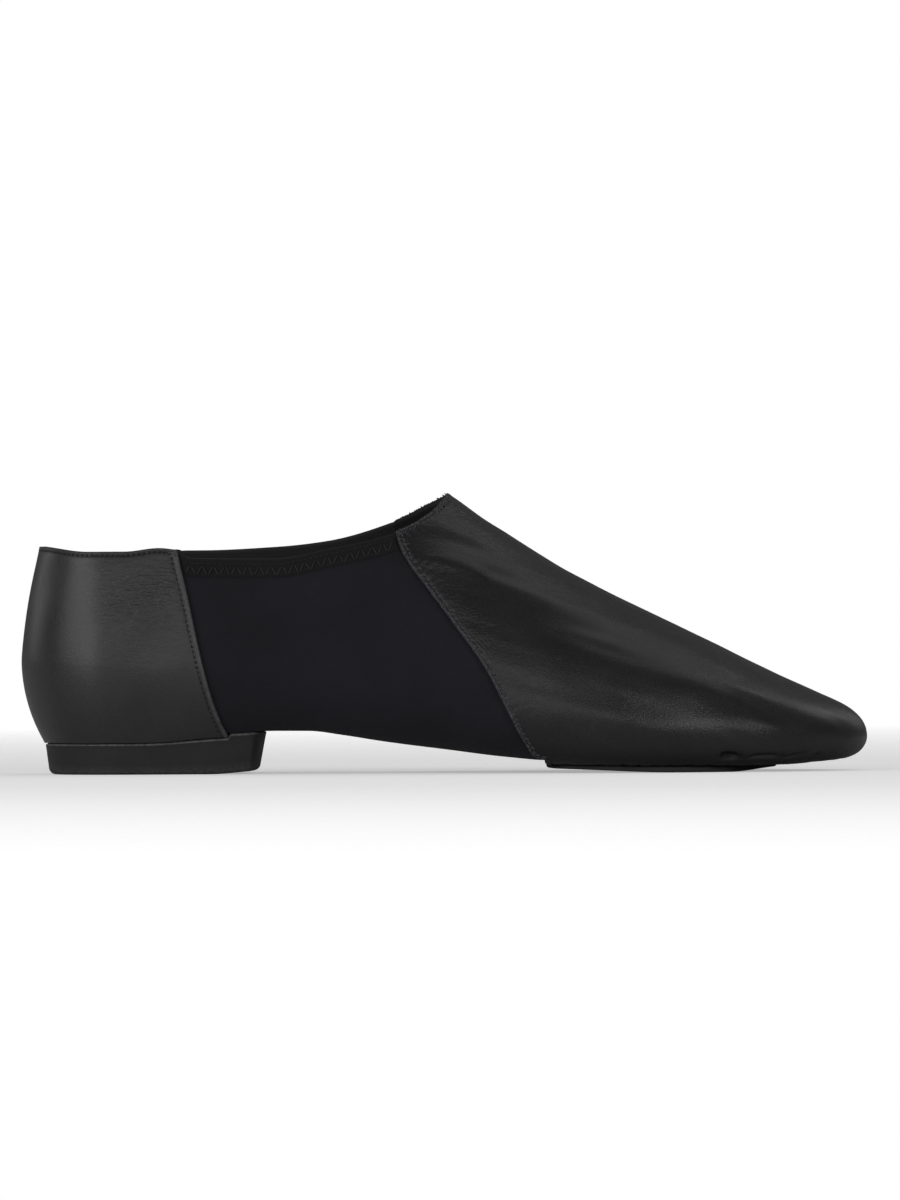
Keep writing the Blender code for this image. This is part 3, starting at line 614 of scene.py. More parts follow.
def buildGrainGroup():
    # pores and fine wrinkles of grain leather
    tree, given, out = newGroup(
        "leatherGrain",
        [("Pore Size", "Float", 0.0007), ("Pore Depth", "Float", 1.0), ("Wrinkle", "Float", 0.0),
         ("Wrinkle Size", "Float", 0.0016)],
        [("Height", "Float"), ("Tone", "Float")])
    place = addNode(tree, "ShaderNodeTexCoord").outputs["Object"]
    poreScale = calc(tree, "DIVIDE", 1.0, given["Pore Size"])
    warp = addNode(tree, "ShaderNodeTexNoise", {"Vector": place, "Scale": 420.0, "Detail": 2.0})
    bent = addNode(tree, "ShaderNodeVectorMath", {0: warp.outputs["Color"], 1: (0.0009,) * 3},
                   operation="MULTIPLY").outputs[0]
    bentPlace = addNode(tree, "ShaderNodeVectorMath", {0: place, 1: bent}, operation="ADD").outputs[0]
    cells = addNode(tree, "ShaderNodeTexVoronoi", {"Vector": bentPlace, "Scale": poreScale},
                    feature="DISTANCE_TO_EDGE")
    pores = remap(tree, cells.outputs["Distance"], 0.0, 0.22, 0.0, 1.0)
    fine = addNode(tree, "ShaderNodeTexNoise", {
        "Vector": place, "Scale": calc(tree, "MULTIPLY", poreScale, 2.3), "Detail": 3.0})
    grain = calc(tree, "ADD", calc(tree, "MULTIPLY", pores, 0.6),
                 calc(tree, "MULTIPLY", fine.outputs["Fac"], 0.5))
    turned = addNode(tree, "ShaderNodeMapping", {
        "Vector": bentPlace, "Rotation": (0.0, math.radians(28), 0.0), "Scale": (0.32, 0.6, 1.0)})
    lines = addNode(tree, "ShaderNodeTexNoise", {"Vector": turned.outputs[0],
                                                 "Scale": calc(tree, "DIVIDE", 1.0, given["Wrinkle Size"]),
                                                 "Detail": 3.0, "Roughness": 0.6})
    bothWays = calc(tree, "ABSOLUTE", calc(tree, "SUBTRACT", lines.outputs["Fac"], 0.5))
    wrinkle = calc(tree, "MULTIPLY", bothWays, 6.0)
    deep = calc(tree, "MULTIPLY", wrinkle, given["Wrinkle"])
    tree.links.new(calc(tree, "ADD", calc(tree, "MULTIPLY", grain, given["Pore Depth"]), deep), out["Height"])
    cloudy = addNode(tree, "ShaderNodeTexNoise", {
        "Vector": place, "Scale": 60.0, "Detail": 4.0, "Roughness": 0.55})
    tree.links.new(calc(tree, "ADD", calc(tree, "MULTIPLY", cloudy.outputs["Fac"], 0.75),
                        calc(tree, "MULTIPLY", grain, 0.25)), out["Tone"])
    return tree


def buildWearGroup():
    # rubbed edges, which on the counter's front rim also carry a painted highlight, and a little settled dust
    # on what faces up
    tree, given, out = newGroup(
        "handledWear",
        [("Color", "Color", (0.02, 0.02, 0.02, 1)), ("Worn Color", "Color", (0.1, 0.1, 0.1, 1)),
         ("Edge", "Float", 0.0), ("Edge Wear", "Float", 0.5), ("Dust", "Float", 0.1),
         ("Roughness", "Float", 0.5)],
        [("Color", "Color"), ("Roughness", "Float")])
    place = addNode(tree, "ShaderNodeTexCoord").outputs["Object"]
    patchy = addNode(tree, "ShaderNodeTexNoise", {
        "Vector": place, "Scale": 900.0, "Detail": 4.0, "Roughness": 0.7})
    broken = remap(tree, patchy.outputs["Fac"], 0.35, 0.65, 0.25, 1.0)
    rubbed = calc(tree, "MULTIPLY", given["Edge"], given["Edge Wear"])
    worn = calc(tree, "MULTIPLY", rubbed, broken, clamp=True)
    colour = mixColour(tree, worn, given["Color"], given["Worn Color"])
    up = addNode(tree, "ShaderNodeSeparateXYZ", {0: addNode(tree, "ShaderNodeNewGeometry").outputs["Normal"]})
    specks = addNode(tree, "ShaderNodeTexNoise", {"Vector": place, "Scale": 2600.0, "Detail": 2.0})
    speck = remap(tree, specks.outputs["Fac"], 0.62, 0.74, 0.0, 1.0)
    film = calc(tree, "MULTIPLY", remap(tree, up.outputs["Z"], -0.2, 1.0, 0.15, 1.0), given["Dust"])
    speckled = calc(tree, "ADD", calc(tree, "MULTIPLY", speck, 0.8), 0.2)
    dust = calc(tree, "MULTIPLY", film, speckled, clamp=True)
    tree.links.new(mixColour(tree, dust, colour, (0.16, 0.155, 0.15, 1)), out["Color"])
    rough = calc(tree, "ADD", given["Roughness"], calc(tree, "MULTIPLY", worn, 0.2))
    tree.links.new(calc(tree, "ADD", rough, calc(tree, "MULTIPLY", dust, 0.3), clamp=True), out["Roughness"])
    return tree


def buildKnitGroup():
    # fine jersey face of stretch cloth: rows of small loops
    tree, given, out = newGroup(
        "jerseyKnit",
        [("Loop", "Float", 0.0005), ("Depth", "Float", 1.0)],
        [("Height", "Float"), ("Tone", "Float")])
    place = addNode(tree, "ShaderNodeTexCoord").outputs["Object"]
    split = addNode(tree, "ShaderNodeSeparateXYZ", {0: place})
    size = calc(tree, "DIVIDE", 2 * math.pi, given["Loop"])
    ribs = calc(tree, "SINE", calc(tree, "MULTIPLY", split.outputs["X"], size))
    lean = calc(tree, "MULTIPLY", calc(tree, "ABSOLUTE", ribs), 0.9)
    courses = calc(tree, "SINE", calc(tree, "ADD", calc(tree, "MULTIPLY", split.outputs["Z"], size), lean))
    loops = calc(tree, "ADD", calc(tree, "MULTIPLY", ribs, 0.5), calc(tree, "MULTIPLY", courses, 0.35))
    fuzz = addNode(tree, "ShaderNodeTexNoise", {"Vector": place, "Scale": 3800.0, "Detail": 2.0})
    height = calc(tree, "ADD", loops, calc(tree, "MULTIPLY", fuzz.outputs["Fac"], 0.8))
    tree.links.new(calc(tree, "MULTIPLY", height, given["Depth"]), out["Height"])
    cloudy = addNode(tree, "ShaderNodeTexNoise", {"Vector": place, "Scale": 45.0, "Detail": 3.0})
    tree.links.new(cloudy.outputs["Fac"], out["Tone"])
    return tree


grainGroup, wearGroup, knitGroup = buildGrainGroup(), buildWearGroup(), buildKnitGroup()


def newMaterial(name):
    made = bpy.data.materials.new(name)
    made.use_nodes = True
    return made, made.node_tree, made.node_tree.nodes["Principled BSDF"]


def useGroup(tree, group, inputs):
    return addNode(tree, "ShaderNodeGroup", inputs, node_tree=group)


def attribute(tree, name):
    return addNode(tree, "ShaderNodeAttribute", attribute_name=name).outputs["Fac"]


def leatherMaterial(name, look):
    made, tree, shader = newMaterial(name)
    grain = useGroup(tree, grainGroup, {
        "Pore Size": look["poreSize"], "Pore Depth": look["poreDepth"],
        "Wrinkle": calc(tree, "MULTIPLY", attribute(tree, "soft"), look["wrinkle"]),
        "Wrinkle Size": look["wrinkleSize"]})
    tone = grain.outputs["Tone"]
    base = mixColour(tree, remap(tree, tone, 0.3, 0.7, 0.0, 1.0), look["dark"], look["light"])
    # painted shade: the shade attribute mixes the colour towards black and makes it duller
    shade = calc(tree, "MULTIPLY", attribute(tree, "shade"), look["shade"])
    base = mixColour(tree, shade, base, (0, 0, 0, 1))
    rough = calc(tree, "ADD", remap(tree, tone, 0.3, 0.7, look["rough"][0], look["rough"][1]),
                 calc(tree, "MULTIPLY", attribute(tree, "shade"), 0.25))
    wear = useGroup(tree, wearGroup, {
        "Color": base, "Worn Color": look["worn"], "Edge": attribute(tree, "edge"),
        "Edge Wear": look["edgeWear"], "Dust": look["dust"], "Roughness": rough})
    tree.links.new(wear.outputs["Color"], shader.inputs["Base Color"])
    tree.links.new(wear.outputs["Roughness"], shader.inputs["Roughness"])
    bump = addNode(tree, "ShaderNodeBump", {"Height": grain.outputs["Height"], "Strength": look["bump"],
                                            "Distance": 0.0001})
    tree.links.new(bump.outputs[0], shader.inputs["Normal"])
    shader.inputs["Specular IOR Level"].default_value = look["specular"]
    shader.inputs["Coat Weight"].default_value = look["coat"]
    shader.inputs["Coat Roughness"].default_value = look["coatRough"]
    return made


def fleshMaterial(name, look):
    # the dull inner face of a leather
    return leatherMaterial(name, {**look, "wrinkle": 0.0, "rough": (0.8, 0.9), "coat": 0.0})


def clothMaterial(name, look):
    made, tree, shader = newMaterial(name)
    knit = useGroup(tree, knitGroup, {"Loop": look["loop"], "Depth": 1.0})
    base = mixColour(tree, remap(tree, knit.outputs["Tone"], 0.3, 0.7, 0.0, 1.0), look["dark"], look["light"])
    if "band" in look:
        base = mixColour(tree, attribute(tree, "band"), base, look["band"])
    wear = useGroup(tree, wearGroup, {"Color": base, "Worn Color": look["light"], "Edge": 0.0,
                                      "Dust": look["dust"], "Roughness": look["rough"]})
    tree.links.new(wear.outputs["Color"], shader.inputs["Base Color"])
    tree.links.new(wear.outputs["Roughness"], shader.inputs["Roughness"])
    bump = addNode(tree, "ShaderNodeBump", {"Height": knit.outputs["Height"], "Strength": look["bump"],
                                            "Distance": 0.0001})
    tree.links.new(bump.outputs[0], shader.inputs["Normal"])
    shader.inputs["Specular IOR Level"].default_value = look["specular"]
    shader.inputs["Sheen Weight"].default_value = look["sheen"]
    shader.inputs["Sheen Roughness"].default_value = 0.5
    return made


def rubberMaterial(name, look):
    made, tree, shader = newMaterial(name)
    place = addNode(tree, "ShaderNodeTexCoord").outputs["Object"]
    fine = addNode(tree, "ShaderNodeTexNoise", {"Vector": place, "Scale": look["speck"], "Detail": 4.0,
                                                "Roughness": 0.65})
    broad = addNode(tree, "ShaderNodeTexNoise", {"Vector": place, "Scale": 90.0, "Detail": 3.0})
    tone = remap(tree, broad.outputs["Fac"], 0.35, 0.65, 0.0, 1.0)
    base = mixColour(tree, tone, look["dark"], look["light"])
    wear = useGroup(tree, wearGroup, {
        "Color": base, "Worn Color": look["worn"], "Edge": attribute(tree, "edge"),
        "Edge Wear": look["edgeWear"], "Dust": look["dust"], "Roughness": look["rough"]})
    tree.links.new(wear.outputs["Color"], shader.inputs["Base Color"])
    tree.links.new(wear.outputs["Roughness"], shader.inputs["Roughness"])
    bump = addNode(tree, "ShaderNodeBump", {"Height": fine.outputs["Fac"], "Strength": look["bump"],
                                            "Distance": 0.0001})
    tree.links.new(bump.outputs[0], shader.inputs["Normal"])
    shader.inputs["Specular IOR Level"].default_value = look["specular"]
    return made


def threadMaterial(name, look):
    made, tree, shader = newMaterial(name)
    place = addNode(tree, "ShaderNodeTexCoord").outputs["Object"]
    fibres = addNode(tree, "ShaderNodeTexNoise", {"Vector": place, "Scale": 5200.0, "Detail": 2.0})
    tone = remap(tree, fibres.outputs["Fac"], 0.3, 0.7, 0.0, 1.0)
    colour = mixColour(tree, tone, look["dark"], look["light"])
    tree.links.new(colour, shader.inputs["Base Color"])
    tree.links.new(remap(tree, fibres.outputs["Fac"], 0.3, 0.7, look["rough"] - 0.08, look["rough"] + 0.08),
                   shader.inputs["Roughness"])
    bump = addNode(tree, "ShaderNodeBump", {"Height": fibres.outputs["Fac"], "Strength": 0.5,
                                            "Distance": 0.00005})
    tree.links.new(bump.outputs[0], shader.inputs["Normal"])
    shader.inputs["Specular IOR Level"].default_value = 0.4
    return made


def dress(piece, slot, *materials):
    for material in materials:
        piece.data.materials.append(material)
    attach(piece, "root")
    return piece


# Stretch upper: the whole sock of the shoe, with a turned hem round the collar

stretchUpper = {
    "hemRamp": 0.3 * mm, "hemEnds": 1.4 * mm, "edgeRound": 0.75 * mm, "softness": 0.12 * mm,
    "softSize": 38 * mm, "softEnds": 8 * mm, "pressedFrom": 2.4, "pressedReach": 0.4,
    "hemSteps": (0.12 * mm, 0.6 * mm, 2.5 * mm),  # finest and coarsest row, and where they are coarse
    "leastFold": 2.6,  # least half width of a fold in the cloth under the leather, in millimetres
    "look": {"loop": 0.00055, "dark": (0.0084, 0.0081, 0.0116, 1), "light": (0.0124, 0.0120, 0.0168, 1),
             "band": (0.0078, 0.0078, 0.0083, 1), "rough": 0.82, "dust": 0.04, "bump": 0.35,
             "specular": 0.22, "sheen": 0.05},
    "lining": {"loop": 0.0008, "dark": (0.010, 0.010, 0.011, 1), "light": (0.016, 0.016, 0.017, 1),
               "band": (0.024, 0.024, 0.0245, 1),
               "rough": 0.9, "dust": 0.05, "bump": 0.5, "specular": 0.2, "sheen": 0.10},
}


def upperGuides(side, rows):
    counterFront = seamStation(side, counterSeam, rows)
    vampBack = seamStation(side, vampSeam, rows)
    throat = stationAt(peakX) - vampBack[-1]
    return [0.0, 1.0, counterFront, vampBack, vampBack + throat, 2.0, 3.0]


def edgeGap(wall, side, line):
    # distance of every point of one side from a column (through all rows) of the grid
    points = wall.base[side]
    return nearestOn(points.reshape(-1, 3), points[line])[0].reshape(points.shape[:-1])


def buildStretchUpper():
    top = 3 - spread(last["hemBand"], *stretchUpper["hemSteps"])[::-1]
    rows = np.concatenate([np.linspace(-1, 0, 9)[:-1], np.linspace(0, 1, 17)[:-1], np.linspace(1, 2, 25)[:-1],
                           2 + np.array([0, 0.02, 0.05]), top[top > 2.1]])
    shares = [np.linspace(0, 1, 31), np.linspace(0, 1, 17), np.linspace(0, 1, 81), np.linspace(0, 1, 13),
              np.linspace(0, 1, 31), 1 - (1 - np.linspace(0, 1, 33)) ** 1.4]
    wall = Wall(upperGuides, shares, rows, True, True, peak=4, toe=5)
    outerDepths, innerDepths, bands = {}, {}, {}
    for side in bothSides:
        relief = foldRelief(wall, side, stretchUpper["leastFold"])
        counterLine, vampLine = wall.lines[2], wall.lines[3]
        column = np.arange(len(wall.stations[side]))[:, None]
        inPanel = (column > counterLine) & (column < vampLine)
        ends = np.minimum(edgeGap(wall, side, counterLine), edgeGap(wall, side, vampLine))
        inHem = smoothStep((rows[None, :] - 2) * last["hemBand"] / stretchUpper["hemRamp"])
        step = last["hemStep"] * inHem * smoothStep(ends / stretchUpper["hemEnds"]) * inPanel
        soft = stretchUpper["softness"] * ripple(wall.base[side], stretchUpper["softSize"], 5)
        soft = soft * smoothStep(ends / stretchUpper["softEnds"]) * inPanel
        turn = quarterRound((3 - rows[None, :]) * last["hemBand"], stretchUpper["edgeRound"])
        turn = np.where(rows[None, :] > 2, turn, 0)
        high = smoothStep((rows[None, :] - stretchUpper["pressedFrom"]) / stretchUpper["pressedReach"])
        pressed = last["clearance"] * high
        outerDepths[side] = upperDepth - step - relief - soft + np.where(inPanel, turn, -pressed)
        innerDepths[side] = liningDepth - relief - soft - turn
        bands[side] = inHem * inPanel + 0 * ends
    piece = closeShell("stretch_upper", wall.sheet(outerDepths), wall.sheet(innerDepths), wall.faces,
                       {"band": wall.flat(bands)})
    dress(piece, "stretch_fabric", clothMaterial("stretchCloth", stretchUpper["look"]),
          clothMaterial("liningCloth", stretchUpper["lining"]))
    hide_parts("upper")
    print("stretch upper built:", len(piece.data.polygons), "faces")


buildStretchUpper()

# Leather vamp: drawn down over the toe and under the patch, its back edge turned and stitched twice

vamp = {
    "edgeRound": 0.42 * mm, "rollWidth": 0.55 * mm, "rollHeight": 0.14 * mm,
    "rows": (0.62 * mm, 1.62 * mm), "groove": 0.20 * mm, "grooveWidth": 0.34 * mm,
    "overcast": {"from": 0.12 * mm, "to": 1.15 * mm, "pitch": 0.85 * mm, "share": 0.75,
                 "ends": (0.8 * mm, 2.4 * mm), "lean": (0.2, 1.4)},
    "ragged": 0.20 * mm, "raggedSize": 0.9 * mm, "raggedReach": 1.5 * mm,
    "stray": 0.13 * mm, "pitch": 1.65 * mm, "threadRadius": 0.22 * mm, "stitchShare": 0.80,
    "stitchDepth": 0.06 * mm, "rowEnds": (0.6 * mm, 2.2 * mm), "underMargin": 0.85,
    "seamSteps": (15.35 * mm, 0.12 * mm, 0.6 * mm, 5 * mm),  # reach, finest and coarsest step, their ramp
    "pleats": {"count": 26, "height": 0.28 * mm, "from": 1.75, "reach": 0.3, "top": 0.42},
    "puckers": {"pitch": 2.3 * mm, "height": 0.16 * mm, "near": 1.8 * mm, "reach": 7.5 * mm,
                "stray": 1.6, "straySize": 16 * mm, "patchSize": 22 * mm},
    "unevenness": 0.08 * mm, "unevenSize": 17 * mm, "unevenFrom": 6 * mm, "edgeFade": 1.1 * mm,
    "soft": {"reach": 26 * mm, "from": 20 * mm, "rise": 30 * mm},  # where the leather wrinkles, near the throat
    # painted shade: the vamp's colour is made darker and duller low down, more towards the toe, and in the
    # deeper fold troughs
    "shaded": {"height": 6.5 * mm, "from": 150 * mm, "reach": 50 * mm, "least": 0.35,
               "troughFrom": 0.3 * mm, "troughReach": 0.6 * mm},  # dull and dark, low down and in the troughs
    "pull": {"height": 0.085 * mm, "size": 5.2 * mm, "slope": math.radians(-21), "stretch": 7.0,
             "patchSize": 30 * mm, "least": 0.35, "from": 3 * mm},
    "look": {"poreSize": 0.00075, "poreDepth": 0.8, "wrinkle": 1.4, "wrinkleSize": 0.0018,
             "dark": (0.0092, 0.0092, 0.0095, 1), "light": (0.0140, 0.0140, 0.0143, 1),
             "worn": (0.045, 0.046, 0.050, 1), "rough": (0.30, 0.40), "edgeWear": 0.8, "dust": 0.05,
             "shade": 0.8, "bump": 0.45, "specular": 0.36, "coat": 0.05, "coatRough": 0.30},
    "thread": {"dark": (0.022, 0.023, 0.027, 1), "light": (0.095, 0.098, 0.110, 1), "rough": 0.55},
}


def vampGuides(side, rows):
    seam = seamStation(side, vampSeam, rows)
    throat = stationAt(peakX) - seam[-1]
    return [seam, seam + throat, 2.0, 3.0]


def edgeRelief(gap, place, style):
    # rolled edge, then a groove under each row of stitches
    roll = style["rollHeight"] * np.sin(math.pi * np.clip(gap / (2 * style["rollWidth"]), 0, 1))
    total = roll - quarterRound(gap, style["edgeRound"])
    pull = 0.6 + 0.4 * np.cos(2 * math.pi * place / style["pitch"])
    for row in style["rows"]:
        total = total - style["groove"] * pull * np.exp(-((gap - row) / style["grooveWidth"]) ** 2)
    return total


def vampBorder(wall, side):
    # back edge from the feather edge up, then along the collar to the peak
    up = wall.base[side][0, wall.rows >= 0]
    along = wall.base[side][1:wall.lines[1] + 1, -1]
    return np.concatenate([up, along])


def puckerRelief(points, gap, place):
    # short ridges square to the seam, pulled up by the stitches
    size = vamp["puckers"]
    phase = 2 * math.pi * place / size["pitch"] + size["stray"] * ripple(points, size["straySize"], 31)
    patchy = smoothStep(0.5 + 0.5 * ripple(points, size["patchSize"], 37))
    faded = np.exp(-np.clip(gap - size["near"], 0, None) / size["reach"] * 2)
    window = smoothStep(gap / size["near"]) * faded
    return size["height"] * np.cos(phase) * patchy * window


def pullRelief(points, gap):
    # fine lines where the leather is drawn from the throat to the toe
    size = vamp["pull"]
    along = points[..., 0] * math.cos(size["slope"]) + points[..., 2] * math.sin(size["slope"])
    across = points[..., 2] * math.cos(size["slope"]) - points[..., 0] * math.sin(size["slope"])
    drawn = np.stack([along / size["stretch"], points[..., 1] * 0.6, across], axis=-1)
    patches = smoothStep(0.5 + 0.5 * ripple(points, size["patchSize"], 43))
    patchy = size["least"] + (1 - size["least"]) * patches
    return size["height"] * ripple(drawn, size["size"], 41) * patchy * smoothStep(gap / size["from"])


def pleatRelief(wall, side):
    # gathers of the leather where it turns under the toe
    pleats = vamp["pleats"]
    stations = np.broadcast_to(wall.stations[side], wall.levels[side].shape)
    level = wall.levels[side]
    toe = smoothStep((stations - pleats["from"]) / pleats["reach"])
    under = smoothStep((pleats["top"] - level) / pleats["top"])
    turn = stations * pleats["count"] / 2 * math.pi
    wave = np.abs(np.sin(turn + 0.7 * np.sin(stations * 9.0) + 1.1 * side)) ** 0.7
    return pleats["height"] * (wave - 0.55) * toe * under


def buildVamp():
    rows = np.concatenate([np.linspace(-vamp["underMargin"], 0, 9)[:-1], np.linspace(0, 0.5, 19)[:-1],
                           np.linspace(0.5, 1, 12)[:-1], np.linspace(1, 2, 61)[:-1], np.linspace(2, 3, 16)])
    shares = [spread(*vamp["seamSteps"]), np.linspace(0, 1, 61),
              1 - (1 - np.linspace(0, 1, 81)) ** 1.4]
    wall = Wall(vampGuides, shares, rows, False, True, peak=1, toe=2)
    soft, shaded = vamp["soft"], vamp["shaded"]
    outer, inner, edges, softs, shades = {}, {}, {}, {}, {}
    for side in bothSides:
        points = wall.base[side]
        gap, place, _ = nearestOn(points.reshape(-1, 3), vampBorder(wall, side))
        gap, place = gap.reshape(points.shape[:-1]), place.reshape(points.shape[:-1])
        folded = foldRelief(wall, side)
        uneven = vamp["unevenness"] * ripple(points, vamp["unevenSize"], 11)
        uneven = uneven * smoothStep(gap / vamp["unevenFrom"])
        uneven = uneven + pleatRelief(wall, side) + puckerRelief(points, gap, place) + pullRelief(points, gap)
        outer[side] = -(folded + uneven + edgeRelief(gap, place, vamp)
                        + vamp["ragged"] * ripple(points, vamp["raggedSize"], 3)
                        * np.exp(-(gap / vamp["raggedReach"]) ** 2))
        inner[side] = last["leather"] - folded + np.clip(-uneven, -last["leather"], last["clearance"] * 0.8)
        inner[side] -= quarterRound(gap, vamp["edgeRound"])
        edges[side] = np.exp(-(gap / vamp["edgeFade"]) ** 2)
        x, z = points[..., 0], points[..., 2]
        softs[side] = smoothStep(1 - gap / soft["reach"]) * smoothStep((z - soft["from"]) / soft["rise"])
        # painted shade, low down towards the toe and in the troughs of the deeper folds
        low = smoothStep(1 - (z - undersideHeight(x)) / shaded["height"])
        ahead = smoothStep((x - shaded["from"]) / shaded["reach"])
        low = low * (shaded["least"] + (1 - shaded["least"]) * ahead)
        trough = smoothStep((-folded - shaded["troughFrom"]) / shaded["troughReach"])
        shades[side] = np.maximum(low, trough)
    attributes = {"edge": wall.flat(edges), "soft": wall.flat(softs), "shade": wall.flat(shades)}
    piece = closeShell("vamp_leather", wall.sheet(outer), wall.sheet(inner), wall.faces, attributes, 0.1)
    dress(piece, "vamp_leather", leatherMaterial("vampLeather", vamp["look"]),
          fleshMaterial("vampFlesh", vamp["look"]))
    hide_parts("vamp")
    print("vamp built:", len(piece.data.polygons), "faces")
    return wall


vampWall = buildVamp()

# Leather heel counter: one wrap round the heel, its top and front edges folded over and stitched

counter = {
    "edgeRound": 0.42 * mm, "rollWidth": 0.75 * mm, "rollHeight": 0.26 * mm,
    "rows": (1.9 * mm,), "groove": 0.30 * mm, "grooveWidth": 0.45 * mm, "pitch": 1.55 * mm,
    "threadRadius": 0.21 * mm, "stitchShare": 0.78, "stitchDepth": 0.12 * mm, "rowTop": 1.2 * mm,
    "topRow": 1.15 * mm, "topRollWidth": 0.5 * mm, "topRollHeight": 0.08 * mm, "topRowDepth": 0.10 * mm,
    "topRowEnd": 2.6 * mm, "unevenness": 0.09 * mm, "unevenSize": 15 * mm, "unevenFrom": 6 * mm,
    "topSteps": (5.8 * mm, 0.14 * mm, 0.55 * mm, 4 * mm),  # reach, finest and coarsest step, their ramp
    "frontSteps": (21 * mm, 0.14 * mm, 0.6 * mm, 6 * mm),
    "edgeFade": 1.1 * mm, "topFade": 0.8 * mm, "topWear": 0.4,
    "wrinkled": {"x": 38, "z": 50, "reach": 14},  # middle and reach of the wrinkled patch, in millimetres
    # the light worn colour is edge wear and also a painted highlight along the rolled front rim
    "look": {"poreSize": 0.0006, "poreDepth": 0.6, "wrinkle": 3.2, "wrinkleSize": 0.0016,
             "dark": (0.014, 0.014, 0.0148, 1), "light": (0.020, 0.020, 0.021, 1),
             "worn": (0.095, 0.095, 0.097, 1), "rough": (0.34, 0.44), "edgeWear": 0.8, "dust": 0.05,
             "shade": 0.0, "bump": 0.45, "specular": 0.5, "coat": 0.10, "coatRough": 0.28},
    "thread": {"dark": (0.006, 0.006, 0.0065, 1), "light": (0.014, 0.014, 0.015, 1), "rough": 0.5},
}


def counterGuides(side, rows):
    return [0.0, 1.0, seamStation(side, counterSeam, rows)]


def buildCounter():
    rows = np.concatenate([np.linspace(0, 1, 33)[:-1], np.linspace(1, 2, 49)[:-1],
                           3 - spread(*counter["topSteps"])[::-1]])
    shares = [np.linspace(0, 1, 61), 1 - spread(*counter["frontSteps"])[::-1]]
    wall = Wall(counterGuides, shares, rows, True, False)
    patch = counter["wrinkled"]
    topStyle = {**counter, "rows": (counter["topRow"],), "rollWidth": counter["topRollWidth"],
                "rollHeight": counter["topRollHeight"]}
    outer, inner, edges, softs = {}, {}, {}, {}
    for side in bothSides:
        points = wall.base[side]
        flat = points.reshape(-1, 3)
        shape = points.shape[:-1]
        front, frontPlace, _ = nearestOn(flat, points[-1])
        top, topPlace, _ = nearestOn(flat, points[:, -1])
        front, frontPlace = front.reshape(shape), frontPlace.reshape(shape)
        top, topPlace = top.reshape(shape), topPlace.reshape(shape)
        nearest = np.minimum(front, top)
        uneven = counter["unevenness"] * ripple(points, counter["unevenSize"], 23)
        uneven = uneven * smoothStep(nearest / counter["unevenFrom"])
        relief = uneven + edgeRelief(front, frontPlace, counter)
        relief = relief + edgeRelief(top, topPlace, topStyle)
        outer[side] = -relief
        inner[side] = last["leather"] - uneven - quarterRound(nearest, counter["edgeRound"])
        # edge wear on the front and top rims; on the front rim the lighter worn colour also paints the rolled
        # edge's highlight
        edges[side] = np.maximum(np.exp(-(front / counter["edgeFade"]) ** 2),
                                 counter["topWear"] * np.exp(-(top / counter["topFade"]) ** 2))
        x, z = points[..., 0] / mm, points[..., 2] / mm
        away = ((x - patch["x"]) / patch["reach"]) ** 2 + ((z - patch["z"]) / patch["reach"]) ** 2
        softs[side] = np.exp(-away)
    attributes = {"edge": wall.flat(edges), "soft": wall.flat(softs)}
    piece = closeShell("counter_leather", wall.sheet(outer), wall.sheet(inner), wall.faces, attributes)
    dress(piece, "counter_leather", leatherMaterial("counterLeather", counter["look"]),
          fleshMaterial("counterFlesh", counter["look"]))
    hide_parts("heel_counter")
    print("counter built:", len(piece.data.polygons), "faces")
    return wall


counterWall = buildCounter()

# Stitches: every row is one mesh of short twisted threads

stitching = {"sides": 8, "rings": 7, "plies": 2, "plyDepth": 0.14, "twist": 2.6}


def stitchTemplate():
    rings, sides = stitching["rings"], stitching["sides"]
    along = np.linspace(-1, 1, rings)
    points = []
    for t in along:
        girth = (1 - abs(t) ** 2.6 * 0.96) ** 0.5
        for k in range(sides):
            angle = 2 * math.pi * k / sides
            ply = 1 - stitching["plyDepth"] * math.cos(stitching["plies"] * angle + stitching["twist"] * t)
            points.append((t, math.cos(angle) * girth * ply, math.sin(angle) * girth * ply))
    faces = []
    for r in range(rings - 1):
        for k in range(sides):
            after = (k + 1) % sides
            faces.append((r * sides + k, r * sides + after, (r + 1) * sides + after, (r + 1) * sides + k))
    faces.append(tuple(range(sides))[::-1])
    faces.append(tuple((rings - 1) * sides + k for k in range(sides)))
    return np.array(points), faces


def stitchMesh(name, ends, normals, radius, lift=0.25, slant=0.0, arch=0.0, uneven=0.0):
    # ends holds the first and last point of every stitch, normals which way is up there; uneven is how far
    # single stitches stray from their row, in metres
    template, templateFaces = stitchTemplate()
    rng = np.random.default_rng(7)
    points, faces = [], []
    for (start, end), normal, thick in zip(ends, normals, np.broadcast_to(radius, len(ends))):
        start, end = (place + np.clip(rng.normal(size=3), -1.5, 1.5) * uneven for place in (start, end))
        middle, along = (start + end) / 2, end - start
        half = np.linalg.norm(along) / 2
        along = along / max(2 * half, 1e-12)
        across = np.cross(normal, along)
        across /= max(np.linalg.norm(across), 1e-12)
        up = np.cross(along, across)
        along = along + across * slant
        spine = template[:, :1] * half * along
        rise = (1 - template[:, :1] ** 2) * arch * up
        section = template[:, 1:2] * thick * across + template[:, 2:3] * thick * up
        offset = len(points) * len(template)
        points.append(middle + up * thick * lift + spine + rise + section)
        faces += [tuple(offset + v for v in face) for face in templateFaces]
    return newObject(name, np.concatenate(points), faces)


